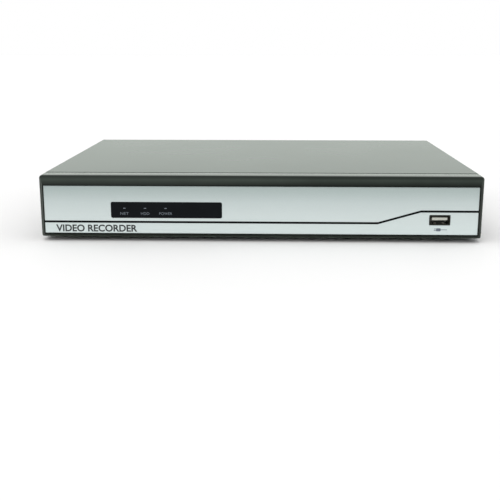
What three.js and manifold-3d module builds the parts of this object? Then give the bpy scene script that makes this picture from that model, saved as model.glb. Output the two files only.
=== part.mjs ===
// A desktop video recorder: a folded steel pan, a slide-off cover, a moulded front bezel with a silver
// fascia, a main board with its rear sockets, a hard disk drive, a small side fan and the leads between them.
// Millimetres. +X is to the right as seen from the front, +Y points to the rear, +Z is up.
// The origin is on the surface that the feet stand on, under the middle of the bounding box.
import * as THREE from "three";
import { mergeVertices } from "three/addons/utils/BufferGeometryUtils.js";
import Module from "manifold-3d";

// ---------------------------------------------------------------- driving dimensions
const CASE_W = 325; // cover and bezel, outside
const CASE_H = 46; // pan underside to cover top
const CASE_D = 245; // bezel front to the outside of the cover's rear flange
const FOOT_H = 2.5;
const SOCKET_REACH = 11; // how far the coaxial sockets stand out behind the cover
const SHEET = 1; // sheet steel thickness
const GAP = 0.3; // between pieces that only touch
const SMALL_GAP = 0.15; // the same, between small square pieces
const BEZEL_D = 20;
const ROUND = 20; // sides of a small round

const HALF_W = CASE_W / 2;
const BASE_Z = FOOT_H;
const TOP_Z = FOOT_H + CASE_H;
const FRONT_Y = -(CASE_D + SOCKET_REACH) / 2;
const COVER_REAR_Y = FRONT_Y + CASE_D;
const BEZEL_BACK_Y = FRONT_Y + BEZEL_D;
const PAN_FRONT_Y = BEZEL_BACK_Y + GAP;
const PANEL_Y = COVER_REAR_Y - SHEET - GAP; // outer face of the pan's rear panel
const SOCKET_TIP = -FRONT_Y - PANEL_Y; // coaxial socket, beyond the panel
const FLOOR_Z = BASE_Z + SHEET; // top of the pan's floor

// The pan stands just inside the cover, with its lower corners bevelled.
const PAN_HALF_W = HALF_W - SHEET - 0.5;
const PAN_BEVEL = 3.5;
const PAN_TOP_Z = TOP_Z - SHEET - 1;

// The cover's rear flange: a band along the top and down each side, with three screw tabs.
const COVER_BOTTOM_Z = BASE_Z + 1.5;
const BAND_TOP = 5.4;
const BAND_SIDE = 5.9;
const SIDE_SCREW = { x: HALF_W - 6.6, z: BASE_Z + 18.6 };
const TOP_SCREW = { x: 0, z: TOP_Z - 4.3 };
const SCREW_HOLE_R = 1.7;

// Side vents, and the fan behind the left ones.
const VENT = { y: -55, pitch: 6, count: 12, width: 2.6, low: BASE_Z + 9.5, high: BASE_Z + 33.5 };
const FAN = { size: 40, depth: 10, inset: 2.6, y: -55, z: BASE_Z + 21.3, bore: 19 };

// Fascia plate, its two openings and the groove that divides it.
const FASCIA = { halfW: 158.6, low: BASE_Z + 3.7, high: BASE_Z + 38.7, thick: 1.2, recess: 0.4 };
const WINDOW = { left: -109.5, right: -27.8, low: BASE_Z + 15, high: BASE_Z + 27, corner: 1.3 };
const FRONT_USB = { x: 130.9, z: BASE_Z + 14.6 };
const GROOVE = { low: BASE_Z + 12.1, high: BASE_Z + 21, rampLeft: 86, rampRight: 117, width: 1.6, deep: 0.4 };

// The rear sockets: across is measured to the right as seen from behind, up from the pan's underside.
const PORTS = {
  videoAcross: [-20.8, -1.6],
  videoUp: [28.3, 14.2],
  audio: { across: 16.9, up: 28.8 },
  vga: { across: 41.9, up: 28.4 },
  hdmi: { across: 36.6, up: 10.9 },
  stack: { across: 98.35, up: 22.5 },
  terminal: { across: 114.7, up: 11.1 },
  power: { across: 124.9, up: 12.9 },
  ground: { across: 141.6, up: 11.8 },
};
const rearX = (across) => -across;
const rearZ = (up) => BASE_Z + up;

const BOARD = { left: -150, right: 45, front: -8, rear: 113, thick: 1.6, top: BASE_Z + 7.2 };
const BOARD_HOLES = [-144, 39].flatMap((x) => [-2, 107].map((y) => ({ x, y })));
const PORT_FLOOR = BOARD.top + SMALL_GAP; // what stands on the main board starts here
const FRONT_BOARD = { left: -125, right: 148, low: BASE_Z + 8, high: BASE_Z + 34, face: FRONT_Y + 13.6 };

// A 3.5 inch drive, mounted from below on four raised bosses.
const DRIVE = { x: 102.8, y: 25.5, z: BASE_Z + 3.5, w: 101.6, l: 147, h: 26.1 };
const DRIVE_HOLES = [-47.6, 47.6].flatMap((x) => [-32.2, 12.2].map((y) => ({ x, y })));
const SPINDLE = { x: 0, y: 22 };
const PIVOT = { x: 26, y: -29 };
const PLATTER_R = 47.5;
const ARM_REACH = 50;
const PARKED_DEG = 171.5; // the arm's direction when its heads are off the platters

// ---------------------------------------------------------------- solids
const wasm = await Module();
wasm.setup();

/** A closed three.js geometry as a manifold solid. */
function solid(geometry) {
  const bare = geometry.clone();
  bare.deleteAttribute("normal");
  bare.deleteAttribute("uv");
  const merged = mergeVertices(bare, 1e-4);
  return new wasm.Manifold(
    new wasm.Mesh({
      numProp: 3,
      vertProperties: merged.attributes.position.array,
      triVerts: new Uint32Array(merged.index.array),
    }),
  );
}

/** A manifold solid as a flat-shaded three.js geometry. */
function geometryOf(made) {
  const { vertProperties, triVerts } = made.getMesh();
  const indexed = new THREE.BufferGeometry()
    .setAttribute("position", new THREE.BufferAttribute(new Float32Array(vertProperties), 3))
    .setIndex(new THREE.BufferAttribute(new Uint32Array(triVerts), 1));
  const flat = indexed.toNonIndexed();
  flat.computeVertexNormals();
  return flat;
}

/** A box between two corners. */
function block([x0, x1], [y0, y1], [z0, z1]) {
  const box = new THREE.BoxGeometry(x1 - x0, y1 - y0, z1 - z0);
  return solid(box.translate((x0 + x1) / 2, (y0 + y1) / 2, (z0 + z1) / 2));
}

/** A round bar along "x", "y" or "z" from one end to the other; at holds its two other coordinates in order. */
function bar(axis, radius, [from, to], at, sides = ROUND) {
  const round = new THREE.CylinderGeometry(radius, radius, to - from, sides);
  const middle = (from + to) / 2;
  if (axis === "x") return solid(round.rotateZ(-Math.PI / 2).translate(middle, at[0], at[1]));
  if (axis === "y") return solid(round.translate(at[0], middle, at[1]));
  return solid(round.rotateX(Math.PI / 2).translate(at[0], at[1], middle));
}

/** A shape drawn in X and Z, as a plate from y0 to y1. */
function plateXZ(shape, y0, y1, curveSegments = 4) {
  const slab = new THREE.ExtrudeGeometry(shape, { depth: y1 - y0, bevelEnabled: false, curveSegments });
  return solid(slab.rotateX(Math.PI / 2).translate(0, y1, 0));
}

/** A shape drawn in X and Y, as a plate from z0 to z1. */
function plateXY(shape, z0, z1, curveSegments = 4) {
  const slab = new THREE.ExtrudeGeometry(shape, { depth: z1 - z0, bevelEnabled: false, curveSegments });
  return solid(slab.translate(0, 0, z0));
}

/** A profile of [radius, y] points turned about the Y axis. */
function turned(profile, sides = ROUND) {
  const points = profile.map(([r, y]) => new THREE.Vector2(r, y));
  return solid(new THREE.LatheGeometry(points, sides));
}

const polygon = (points) => new THREE.Shape(points.map(([x, y]) => new THREE.Vector2(x, y)));

/** A rectangle with round corners. */
function roundedRect([x0, x1], [y0, y1], r) {
  const quarter = Math.PI / 2;
  const shape = new THREE.Shape();
  shape.absarc(x1 - r, y0 + r, r, -quarter, 0);
  shape.absarc(x1 - r, y1 - r, r, 0, quarter);
  shape.absarc(x0 + r, y1 - r, r, quarter, 2 * quarter);
  shape.absarc(x0 + r, y0 + r, r, 2 * quarter, 3 * quarter);
  return shape;
}

const join = (first, ...others) => others.reduce((sum, one) => sum.add(one), first);
const cut = (first, ...others) => others.reduce((rest, one) => rest.subtract(one), first);

/** A named mesh of a manifold solid, placed at [x, y, z]. */
function piece(name, made, material, at = [0, 0, 0]) {
  const mesh = new THREE.Mesh(geometryOf(made), material);
  mesh.name = name;
  mesh.position.set(...at);
  return mesh;
}

// ---------------------------------------------------------------- materials
const finish = (color, roughness, metalness = 0) =>
  new THREE.MeshStandardMaterial({ color, roughness, metalness });

const materials = {
  coverPaint: finish(0x1b1b20, 0.38, 0.2),
  panelPaint: finish(0xa6b0bc, 0.45, 0.3),
  bezelPlastic: finish(0x17191c, 0.3),
  fasciaSilver: finish(0xc4cccc, 0.35, 0.6),
  smokedWindow: finish(0x0b0d10, 0.12),
  rubber: finish(0x151515, 0.9),
  blackScrew: finish(0x17171a, 0.4, 0.6),
  zincScrew: finish(0xb9bcc0, 0.35, 0.9),
  boardGreen: finish(0x1c4a2b, 0.5),
  nickel: finish(0xc9beb0, 0.25, 1),
  socketWhite: finish(0xe4dccb, 0.5),
  tinnedSteel: finish(0xa5988a, 0.35, 0.9),
  vgaBlue: finish(0x1a5fa8, 0.4),
  blackPlastic: finish(0x121212, 0.5),
  terminalGreen: finish(0x1f7a34, 0.45),
  chipBlack: finish(0x1d1d1f, 0.6),
  heatSink: finish(0x8d9196, 0.4, 0.9),
  driveCasting: finish(0x6f7276, 0.5, 0.8),
  driveLid: finish(0xbcc0c4, 0.3, 0.9),
  platterMirror: finish(0xd8d8da, 0.08, 1),
  indicator: finish(0xcfe8cf, 0.2),
  redCable: finish(0xa81e22, 0.5),
  blackCable: finish(0x1a1a1a, 0.6),
  greyRibbon: finish(0x8f9499, 0.6),
};

// ---------------------------------------------------------------- housing
/** The pan's outline across the case, seen from the front, inset by some distance. */
function panOutline(inset) {
  const side = PAN_HALF_W - inset;
  const floor = BASE_Z + inset;
  const bevel = PAN_BEVEL - inset * (2 - Math.SQRT2);
  return [
    [-side, PAN_TOP_Z],
    [-side, floor + bevel],
    [-side + bevel, floor],
    [side - bevel, floor],
    [side, floor + bevel],
    [side, PAN_TOP_Z],
  ];
}

/** The holes in the rear panel, one for each socket that comes through it. */
function panelCutouts() {
  const through = [PANEL_Y - 7, PANEL_Y + 1];
  const opening = ({ across, up }, w, h) =>
    block([rearX(across) - w / 2, rearX(across) + w / 2], through, [rearZ(up) - h / 2, rearZ(up) + h / 2]);
  const round = (across, up, r, sides) => bar("y", r, through, [rearX(across), rearZ(up)], sides);
  const coaxial = PORTS.videoAcross.flatMap((a) => PORTS.videoUp.map((u) => round(a, u, COAX.neckR + 0.4, 24)));
  const vgaScrews = [-VGA.screwPitch / 2, VGA.screwPitch / 2].map((s) =>
    round(PORTS.vga.across + s, PORTS.vga.up, SCREW_HOLE_R, 12),
  );
  const coverScrews = [
    bar("y", SCREW_HOLE_R, through, [SIDE_SCREW.x, SIDE_SCREW.z], 12),
    bar("y", SCREW_HOLE_R, through, [-SIDE_SCREW.x, SIDE_SCREW.z], 12),
    bar("y", SCREW_HOLE_R, through, [TOP_SCREW.x, TOP_SCREW.z], 12),
  ];
  return [
    ...coaxial,
    ...vgaScrews,
    ...coverScrews,
    round(PORTS.audio.across, PORTS.audio.up, COAX.neckR + 0.4, 24),
    plateXZ(vgaShape(0.5), ...through).translate(rearX(PORTS.vga.across), 0, rearZ(PORTS.vga.up)),
    plateXZ(hdmiShape(0.3), ...through).translate(rearX(PORTS.hdmi.across), 0, rearZ(PORTS.hdmi.up)),
    opening(PORTS.stack, STACK.w + 0.8, STACK.h + 0.6),
    opening(PORTS.terminal, TERMINAL.w + 0.8, TERMINAL.h + 0.4), // the next two meet
    opening(PORTS.power, POWER.w + 0.8, POWER.h + 0.4),
    round(PORTS.ground.across, PORTS.ground.up, 1.5, 12),
  ];
}

function chassisPan() {
  const outer = panOutline(0);
  const inner = panOutline(SHEET).reverse();
  const trough = plateXZ(polygon([...outer, ...inner]), PAN_FRONT_Y, PANEL_Y);
  const frontWall = plateXZ(polygon(outer), PAN_FRONT_Y, PAN_FRONT_Y + SHEET);
  const rearPanel = plateXZ(polygon(outer), PANEL_Y - SHEET, PANEL_Y);
  const lip = (y0, y1) => block([-150, 150], [y0, y1], [PAN_TOP_Z - SHEET, PAN_TOP_Z]);
  const boardPosts = BOARD_HOLES.map(({ x, y }) =>
    bar("z", 3.2, [FLOOR_Z - 0.5, BOARD.top - BOARD.thick - SMALL_GAP], [x, y], 12),
  );
  const driveBosses = DRIVE_HOLES.map(({ x, y }) =>
    bar("z", 4.6, [FLOOR_Z - 0.5, DRIVE.z - SMALL_GAP], [DRIVE.x + x, DRIVE.y + y], 12),
  );
  const driveHoles = DRIVE_HOLES.map(({ x, y }) =>
    bar("z", 1.9, [BASE_Z - 1, DRIVE.z + 1], [DRIVE.x + x, DRIVE.y + y], 12),
  );
  const fanX = [-PAN_HALF_W + SHEET + FAN.inset, -PAN_HALF_W + SHEET + FAN.inset + FAN.depth];
  const fanEdge = FAN.size / 2 + GAP;
  const fanTabs = [
    block(fanX, [FAN.y - fanEdge - SHEET, FAN.y - fanEdge], [FLOOR_Z - 0.5, BASE_Z + 25]),
    block(fanX, [FAN.y + fanEdge, FAN.y + fanEdge + SHEET], [FLOOR_Z - 0.5, BASE_Z + 6]), // low, under the lead
  ];
  const hookSlots = HOOKS.map(({ x, z }) =>
    block([x - 5, x + 5], [PAN_FRONT_Y - 1, PAN_FRONT_Y + 2], [z - 1.9, z + 1.9]),
  );
  const ribbonSlot = block([-30, -10], [PAN_FRONT_Y - 1, PAN_FRONT_Y + 2], [BASE_Z + 13, BASE_Z + 23]);
  const fanOpening = bar("x", FAN.bore - 1.2, [-PAN_HALF_W - 1, -PAN_HALF_W + 2], [FAN.y, FAN.z], 24);
  const intake = block([PAN_HALF_W - 2, PAN_HALF_W + 1], [VENT.y - 34, VENT.y + 34], [VENT.low, VENT.high]);
  return cut(
    join(trough, frontWall, rearPanel, lip(PAN_FRONT_Y, PAN_FRONT_Y + 8), lip(PANEL_Y - 8, PANEL_Y),
      ...boardPosts, ...driveBosses, ...fanTabs),
    ...panelCutouts(), ...driveHoles, ...hookSlots, ribbonSlot, fanOpening, intake,
  );
}

/** The cover's outline across the case, inset by some distance; its top corners are bent. */
function coverOutline(inset) {
  const side = HALF_W - inset;
  const top = TOP_Z - inset;
  const bend = 1.4 - inset * (2 - Math.SQRT2);
  return [
    [side, COVER_BOTTOM_Z],
    [side, top - bend],
    [side - bend, top],
    [-side + bend, top],
    [-side, top - bend],
    [-side, COVER_BOTTOM_Z],
  ];
}

/** The rear flange, with a slit at each mitred corner. */
function coverFlange() {
  const [y0, y1] = [COVER_REAR_Y - SHEET, COVER_REAR_Y];
  const innerX = HALF_W - BAND_SIDE;
  const innerZ = TOP_Z - BAND_TOP;
  const full = plateXZ(polygon(coverOutline(0)), y0, y1);
  const middle = block([-innerX, innerX], [y0 - 1, y1 + 1], [COVER_BOTTOM_Z - 1, innerZ]);
  const sideTab = (sign) => {
    const edges = [sign * (innerX - 5.8), sign * (innerX + 1)].sort((a, b) => a - b);
    return plateXZ(roundedRect(edges, [SIDE_SCREW.z - 5.7, SIDE_SCREW.z + 5.7], 1), y0, y1, 2);
  };
  const topTab = bar("y", 4.1, [y0, y1], [TOP_SCREW.x, TOP_SCREW.z], 24);
  const slit = (sign) => {
    const thin = new THREE.BoxGeometry(6, 4, 0.8).rotateY((-sign * Math.PI) / 4);
    return solid(thin.translate(sign * (innerX + 1.6), COVER_REAR_Y, innerZ + 1.6));
  };
  return cut(join(cut(full, middle), sideTab(1), sideTab(-1), topTab), slit(1), slit(-1));
}

function topCover() {
  const inner = coverOutline(SHEET).reverse();
  const folded = plateXZ(polygon([...coverOutline(0), ...inner]), PAN_FRONT_Y, COVER_REAR_Y);
  const slots = Array.from({ length: VENT.count }, (_, i) => {
    const y = VENT.y + (i - (VENT.count - 1) / 2) * VENT.pitch;
    const span = [y - VENT.width / 2, y + VENT.width / 2];
    return [-1, 1].map((sign) => block([sign * HALF_W - 2, sign * HALF_W + 2], span, [VENT.low, VENT.high]));
  }).flat();
  const through = [COVER_REAR_Y - 2, COVER_REAR_Y + 1];
  const holes = [SIDE_SCREW, { ...SIDE_SCREW, x: -SIDE_SCREW.x }, TOP_SCREW].map(({ x, z }) =>
    bar("y", SCREW_HOLE_R, through, [x, z], 12),
  );
  return cut(join(folded, coverFlange()), ...slots, ...holes);
}

/** A pan-head screw pointing along -Y, with a cross recess; y 0 is under its head. */
function panScrew(headR, headH, shankR, length) {
  const body = turned([[0, -length], [shankR, -length], [shankR, 0], [headR, 0], [headR, headH * 0.55],
    [headR * 0.72, headH], [0, headH]], 14);
  const arm = [-headR * 0.55, headR * 0.55];
  const thin = [-headR * 0.14, headR * 0.14];
  const deep = [headH * 0.35, headH + 1];
  return cut(body, block(arm, deep, thin), block(thin, deep, arm));
}

function foot() {
  const height = FOOT_H - SMALL_GAP;
  return turned([[0, 0], [6.6, 0], [7.4, 0.6], [8, height], [0, height]]);
}

// ---------------------------------------------------------------- front
const HOOKS = [-120, 120].flatMap((x) => [{ x, z: TOP_Z - 6.2, up: 1 }, { x, z: BASE_Z + 6.2, up: -1 }]);

function frontBezel() {
  const shoulderY = FRONT_Y + 4;
  const lip = 0.6; // the flat rim left around the fascia
  const frame = { halfW: FASCIA.halfW + 0.2 + lip, low: FASCIA.low - 0.2 - lip, high: FASCIA.high + 0.2 + lip };
  const bevel = new THREE.BoxGeometry(CASE_W, shoulderY - FRONT_Y, CASE_H);
  const corners = bevel.attributes.position;
  for (let i = 0; i < corners.count; i++) {
    if (corners.getY(i) > 0) continue;
    corners.setX(i, Math.sign(corners.getX(i)) * frame.halfW);
    corners.setZ(i, (corners.getZ(i) > 0 ? frame.high : frame.low) - BASE_Z - CASE_H / 2);
  }
  const face = solid(bevel.translate(0, (FRONT_Y + shoulderY) / 2, BASE_Z + CASE_H / 2));
  const sides = block([-HALF_W, HALF_W], [shoulderY, BEZEL_BACK_Y], [BASE_Z, TOP_Z]);
  const seat = block(
    [-FASCIA.halfW - 0.2, FASCIA.halfW + 0.2],
    [FRONT_Y - 1, FRONT_Y + FASCIA.recess + FASCIA.thick + SMALL_GAP],
    [FASCIA.low - 0.2, FASCIA.high + 0.2],
  );
  const ledge = 1.6;
  const throat = block(
    [-FASCIA.halfW + ledge, FASCIA.halfW - ledge],
    [FRONT_Y, BEZEL_BACK_Y + 1],
    [FASCIA.low + ledge, FASCIA.high - ledge],
  );
  const wall = 2.2;
  const hollow = block([-HALF_W + wall, HALF_W - wall], [FRONT_Y + 7, BEZEL_BACK_Y + 1], [BASE_Z + wall, TOP_Z - wall]);
  const hooks = HOOKS.map(({ x, z, up }) => {
    const across = [x - 4, x + 4];
    const order = (a, b) => (a < b ? [a, b] : [b, a]);
    return join(
      block(across, [BEZEL_BACK_Y - 6, BEZEL_BACK_Y - 1], order(z - up * 0.8, z + up * 5)),
      block(across, [BEZEL_BACK_Y - 6, PAN_FRONT_Y + 3.2], order(z - up * 0.8, z + up * 0.6)),
      block(across, [PAN_FRONT_Y + 1.6, PAN_FRONT_Y + 3.2], order(z, z + up * 2.6)),
    );
  });
  const brackets = [-121, 0, 145].flatMap((x) => [[FRONT_BOARD.high - 3, TOP_Z - 1], [BASE_Z + 1, FRONT_BOARD.low + 3]]
    .map((upright) => block([x - 2.8, x + 2.8], [FRONT_BOARD.face - 4, FRONT_BOARD.face - SMALL_GAP], upright)));
  return join(cut(join(face, sides), seat, throat, hollow), ...hooks, ...brackets);
}

/** The groove's outline on the fascia: level, a ramp, then level again to the right edge. */
function grooveShape() {
  const half = GROOVE.width / 2;
  const line = [
    [-FASCIA.halfW - 1, GROOVE.low],
    [GROOVE.rampLeft, GROOVE.low],
    [GROOVE.rampRight, GROOVE.high],
    [FASCIA.halfW + 1, GROOVE.high],
  ];
  const lower = line.map(([x, z]) => [x, z - half]);
  const upper = line.map(([x, z]) => [x, z + half]).reverse();
  return polygon([...lower, ...upper]);
}

function fasciaPlate() {
  const y0 = FRONT_Y + FASCIA.recess;
  const y1 = y0 + FASCIA.thick;
  const plate = block([-FASCIA.halfW, FASCIA.halfW], [y0, y1], [FASCIA.low, FASCIA.high]);
  const windowHole = roundedRect([WINDOW.left, WINDOW.right], [WINDOW.low, WINDOW.high], WINDOW.corner);
  const usbHole = roundedRect([FRONT_USB.x - 7.7, FRONT_USB.x + 7.7], [FRONT_USB.z - 3.85, FRONT_USB.z + 3.85], 0.6);
  return cut(
    plate,
    plateXZ(windowHole, y0 - 1, y1 + 1),
    plateXZ(usbHole, y0 - 1, y1 + 1, 2),
    plateXZ(grooveShape(), y0 - 1, y0 + GROOVE.deep),
  );
}

function indicatorWindow() {
  const slack = 0.25;
  const across = [WINDOW.left + slack, WINDOW.right - slack];
  const upright = [WINDOW.low + slack, WINDOW.high - slack];
  const front = FRONT_Y + FASCIA.recess - 0.1;
  const back = FRONT_Y + FASCIA.recess + FASCIA.thick + SMALL_GAP;
  const flange = block([WINDOW.left - 2, WINDOW.right + 2], [back, back + 0.9], [WINDOW.low - 2, WINDOW.high + 2]);
  return join(plateXZ(roundedRect(across, upright, WINDOW.corner - slack), front, back + 0.5), flange);
}

function frontBoard() {
  const { left, right, low, high, face } = FRONT_BOARD;
  return block([left, right], [face, face + 1.6], [low, high]);
}

/** A 3 mm indicator lamp on its spacer, dome towards -Y; y 0 is the face of its board. */
function indicatorLamp() {
  return turned([[0, -9.4], [0.8, -9.2], [1.5, -8.2], [1.5, -4], [1.9, -4], [1.9, -3], [1.6, -3],
    [1.6, -SMALL_GAP], [0, -SMALL_GAP]].reverse().map(([r, y]) => [r, -y]), 12).rotate([180, 0, 0]);
}

/** The remote-control receiver: a square body with a domed lens towards -Y. */
function remoteReceiver() {
  const body = block([-3, 3], [-5, -SMALL_GAP], [-3.2, 3.2]);
  const lens = solid(new THREE.SphereGeometry(2.2, 12, 8).translate(0, -5, 0));
  return join(body, lens);
}

/** A USB socket's folded shell, open at both ends, its mouth towards +Y at y 0. */
function usbShell(w, h, depth) {
  const wall = 0.5;
  const tube = block([-w / 2, w / 2], [-depth, 0], [-h / 2, h / 2]);
  const inside = block([-w / 2 + wall, w / 2 - wall], [-depth - 1, 1], [-h / 2 + wall, h / 2 - wall]);
  return cut(tube, inside);
}

/** A socket's insert: a block that closes the back and a tongue reaching to the mouth at y 0. */
function tongue(blockSize, tongueSize, depth, offsetZ) {
  const [bw, bh] = blockSize;
  const [tw, th] = tongueSize;
  return join(
    block([-bw / 2, bw / 2], [-depth, -depth + 2.5], [-bh / 2, bh / 2]),
    block([-tw / 2, tw / 2], [-depth + 1, -1], [offsetZ - th / 2, offsetZ + th / 2]),
  );
}

// ---------------------------------------------------------------- rear sockets
// Each is drawn with y 0 on the rear panel's outer face and +Y pointing out of the case.
const COAX = { neckR: 6.3, neckOut: 2.6, barrelR: 4.85, boreR: 4.05, body: 6.7 };
const VGA = { screwPitch: 25, w: 16.9, h: 8.3 };
const STACK = { w: 19.8, h: 30.2, deep: 21 };
const TERMINAL = { w: 9.6, h: 7.2 };
const POWER = { w: 9.6, h: 10.8, boreR: 3.15, boreUp: -1 };
const BEHIND = -SHEET - GAP; // just inside the panel

/**
 * A coaxial socket: a square body behind the panel, a neck through it and a barrel with two bayonet lugs.
 * Its body reaches down to bodyLow, or a leg further back does so, over the socket below.
 */
function coaxialSocket(bodyLow, legLow = bodyLow) {
  const barrel = turned([[0, BEHIND - 2], [COAX.neckR, BEHIND - 2], [COAX.neckR, COAX.neckOut],
    [COAX.barrelR, COAX.neckOut], [COAX.barrelR, SOCKET_TIP], [0, SOCKET_TIP]]);
  const across = [-COAX.body, COAX.body];
  const front = block(across, [BEHIND - 12, BEHIND], [bodyLow, COAX.body]);
  const body = legLow === bodyLow ? front : join(front, block(across, [BEHIND - 20, BEHIND - 12.2], [legLow, COAX.body]),
    block(across, [BEHIND - 13, BEHIND - 11], [-COAX.body, COAX.body]));
  const bore = bar("y", COAX.boreR, [COAX.neckOut, SOCKET_TIP + 1], [0, 0], 16);
  const lug = (sign) => bar("z", 1, [4.3, 5.5].map((r) => sign * r).sort((a, b) => a - b), [0, SOCKET_TIP - 4.2], 8);
  return join(cut(join(barrel, body), bore), lug(1), lug(-1));
}

function coaxialInsulator() {
  const base = COAX.neckOut + SMALL_GAP;
  const mouth = SOCKET_TIP - 1.4;
  return turned([[0, base], [COAX.boreR - GAP, base], [COAX.boreR - GAP, base + 1], [2.45, base + 1],
    [2.45, mouth], [0.8, mouth], [0.8, mouth - 4], [0, mouth - 4]], 12);
}

/** The D-shaped outline of the video-graphics socket, wide side up, grown by a margin. */
function vgaShape(margin) {
  const top = VGA.w / 2 + margin;
  const bottom = VGA.w / 2 - 1.3 + margin;
  const half = VGA.h / 2 + margin;
  const r = 2.2;
  return polygon([[-bottom + r, -half], [bottom - r, -half], [bottom - 0.6, -half + 0.6], [bottom, -half + r],
    [top, half - r], [top - 0.6, half - 0.6], [top - r, half], [-top + r, half], [-top + 0.6, half - 0.6],
    [-top, half - r], [-bottom, -half + r], [-bottom + 0.6, -half + 0.6]]);
}

const VGA_OUT = 4.6; // the shell, beyond the panel

function vgaShell() {
  const flange = plateXZ(roundedRect([-15.4, 15.4], [-6.2, 6.2], 1), BEHIND - 0.8, BEHIND, 2);
  const collar = plateXZ(vgaShape(0), BEHIND - 0.4, VGA_OUT);
  const inside = plateXZ(vgaShape(-0.5), BEHIND - 2, VGA_OUT + 1);
  const holes = [-1, 1].map((sign) =>
    bar("y", SCREW_HOLE_R, [BEHIND - 2, BEHIND + 1], [(sign * VGA.screwPitch) / 2, 0], 12),
  );
  return cut(join(flange, collar), inside, ...holes);
}

function vgaInsert() {
  const back = BEHIND - 0.8 - SMALL_GAP;
  const plug = plateXZ(vgaShape(-0.5 - SMALL_GAP), back - 1, VGA_OUT - 0.6);
  const housing = block([-9.5, 9.5], [back - 9, back], [-6, 6]);
  const standingLeg = block([-14.8, -9], [back - 9, back - 2], [PORT_FLOOR - rearZ(PORTS.vga.up), 6]);
  return join(plug, housing, standingLeg);
}

/** A hexagonal jack screw with a threaded mouth. */
function vgaJackscrew() {
  const hex = bar("y", 2.85, [SMALL_GAP, 5.2], [0, 0], 6);
  const shank = bar("y", 1.35, [-4, 1], [0, 0], 10);
  const mouth = bar("y", 1.25, [1.6, 6], [0, 0], 10);
  return cut(join(hex, shank), mouth);
}

/** The multimedia socket's outline, its lower corners cut back, grown by a margin. */
function hdmiShape(margin) {
  const half = 7.6 + margin;
  const foot = 5.6 + margin;
  return polygon([[-foot, -2.85 - margin], [foot, -2.85 - margin], [half, -0.6 - margin / 2],
    [half, 2.85 + margin], [-half, 2.85 + margin], [-half, -0.6 - margin / 2]]);
}

function hdmiShell() {
  return cut(plateXZ(hdmiShape(0), -10.6, 0.6), plateXZ(hdmiShape(-0.5), -12, 2));
}

function hdmiTongue() {
  const base = plateXZ(hdmiShape(-0.5 - SMALL_GAP), -10.6, -8.2);
  return join(base, block([-5.4, 5.4], [-9, -0.6], [-0.1, 1.1]));
}

// The network and twin USB stack. Heights are from the stack's centre.
const LAN = { up: 7.3, w: 12.4, h: 6.4, notchW: 7, notchH: 3.2 };
const LAN_LAMP = { w: 3.2, h: 2.6, up: 13, off: 5.8 };
const STACK_USB = { up: [-2.4, -10.6], w: 13, h: 5.4, deep: 16 };

/** The network socket's opening: a wide mouth with a narrower latch notch above it. */
function lanOpening(y0, y1) {
  const mouth = block([-LAN.w / 2, LAN.w / 2], [y0, y1], [LAN.up - LAN.h / 2, LAN.up + LAN.h / 2]);
  const notchTop = LAN.up + LAN.h / 2 + LAN.notchH;
  return join(mouth, block([-LAN.notchW / 2, LAN.notchW / 2], [y0, y1], [LAN.up, notchTop]));
}

function stackHousing() {
  const front = 1;
  const half = STACK.w / 2;
  const body = block([-half, half], [front - STACK.deep, front], [-STACK.h / 2, STACK.h / 2]);
  const lanBay = block([-half + 0.6, half - 0.6], [front - STACK.deep - 1, front - 0.5], [1.8, STACK.h / 2 - 0.6]);
  const usbBays = STACK_USB.up.map((z) =>
    block([-STACK_USB.w / 2, STACK_USB.w / 2], [front - STACK.deep - 1, front + 1],
      [z - STACK_USB.h / 2, z + STACK_USB.h / 2]),
  );
  const lamps = [-1, 1].map((sign) =>
    block([sign * LAN_LAMP.off - LAN_LAMP.w / 2, sign * LAN_LAMP.off + LAN_LAMP.w / 2], [0, front + 1],
      [LAN_LAMP.up - LAN_LAMP.h / 2, LAN_LAMP.up + LAN_LAMP.h / 2]),
  );
  return cut(body, lanBay, ...usbBays, lanOpening(0, front + 1), ...lamps);
}

function lanInsert() {
  const front = 0.5 - SMALL_GAP;
  const half = STACK.w / 2 - 0.6 - SMALL_GAP;
  const body = block([-half, half], [1 - STACK.deep, front], [1.8 + SMALL_GAP, STACK.h / 2 - 0.6 - SMALL_GAP]);
  return cut(body, lanOpening(front - 14, front + 1));
}

/** The two-way pluggable terminal header, with a cell for each pole. */
function terminalHeader() {
  const body = block([-TERMINAL.w / 2, TERMINAL.w / 2], [-9, 0.8], [-TERMINAL.h / 2, TERMINAL.h / 2]);
  const cells = [-2.05, 2.05].map((x) => block([x - 1.75, x + 1.75], [-6.5, 2], [-2.8, 2.8]));
  return cut(body, ...cells);
}

function powerJack() {
  const body = block([-POWER.w / 2, POWER.w / 2], [-12.5, 1.2], [-POWER.h / 2, POWER.h / 2]);
  return cut(body, bar("y", POWER.boreR, [-8.5, 2], [0, POWER.boreUp], 18));
}

function powerJackPin() {
  return turned([[0, -8.3], [1.6, -8.3], [1.6, -7.6], [1, -7.6], [1, -1.2], [0.6, -0.7], [0, -0.7]], 12);
}

// ---------------------------------------------------------------- inside
function mainBoard() {
  const { left, right, front, rear, thick, top } = BOARD;
  const slab = block([left, right], [front, rear], [top - thick, top]);
  return cut(slab, ...BOARD_HOLES.map(({ x, y }) => bar("z", 1.6, [top - 3, top + 1], [x, y], 10)));
}

function heatSink(size, height, fins) {
  const base = 2.5;
  const finT = 1.4;
  const step = (size - finT) / (fins - 1);
  const comb = [[size / 2, 0], [size / 2, height]];
  for (let i = fins - 1; i >= 0; i--) {
    const x = -size / 2 + i * step;
    comb.push([x, height]);
    if (i > 0) comb.push([x, base], [x - step + finT, base], [x - step + finT, height]);
  }
  comb.push([-size / 2, 0]);
  return plateXZ(polygon(comb), -size / 2, size / 2);
}

// The fan is drawn with its axis along X, air leaving towards -X; x 0 is the middle of its frame.
const FAN_HUB_R = 9;
const FAN_MOTOR_X = FAN.depth / 2 - 2;

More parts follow.
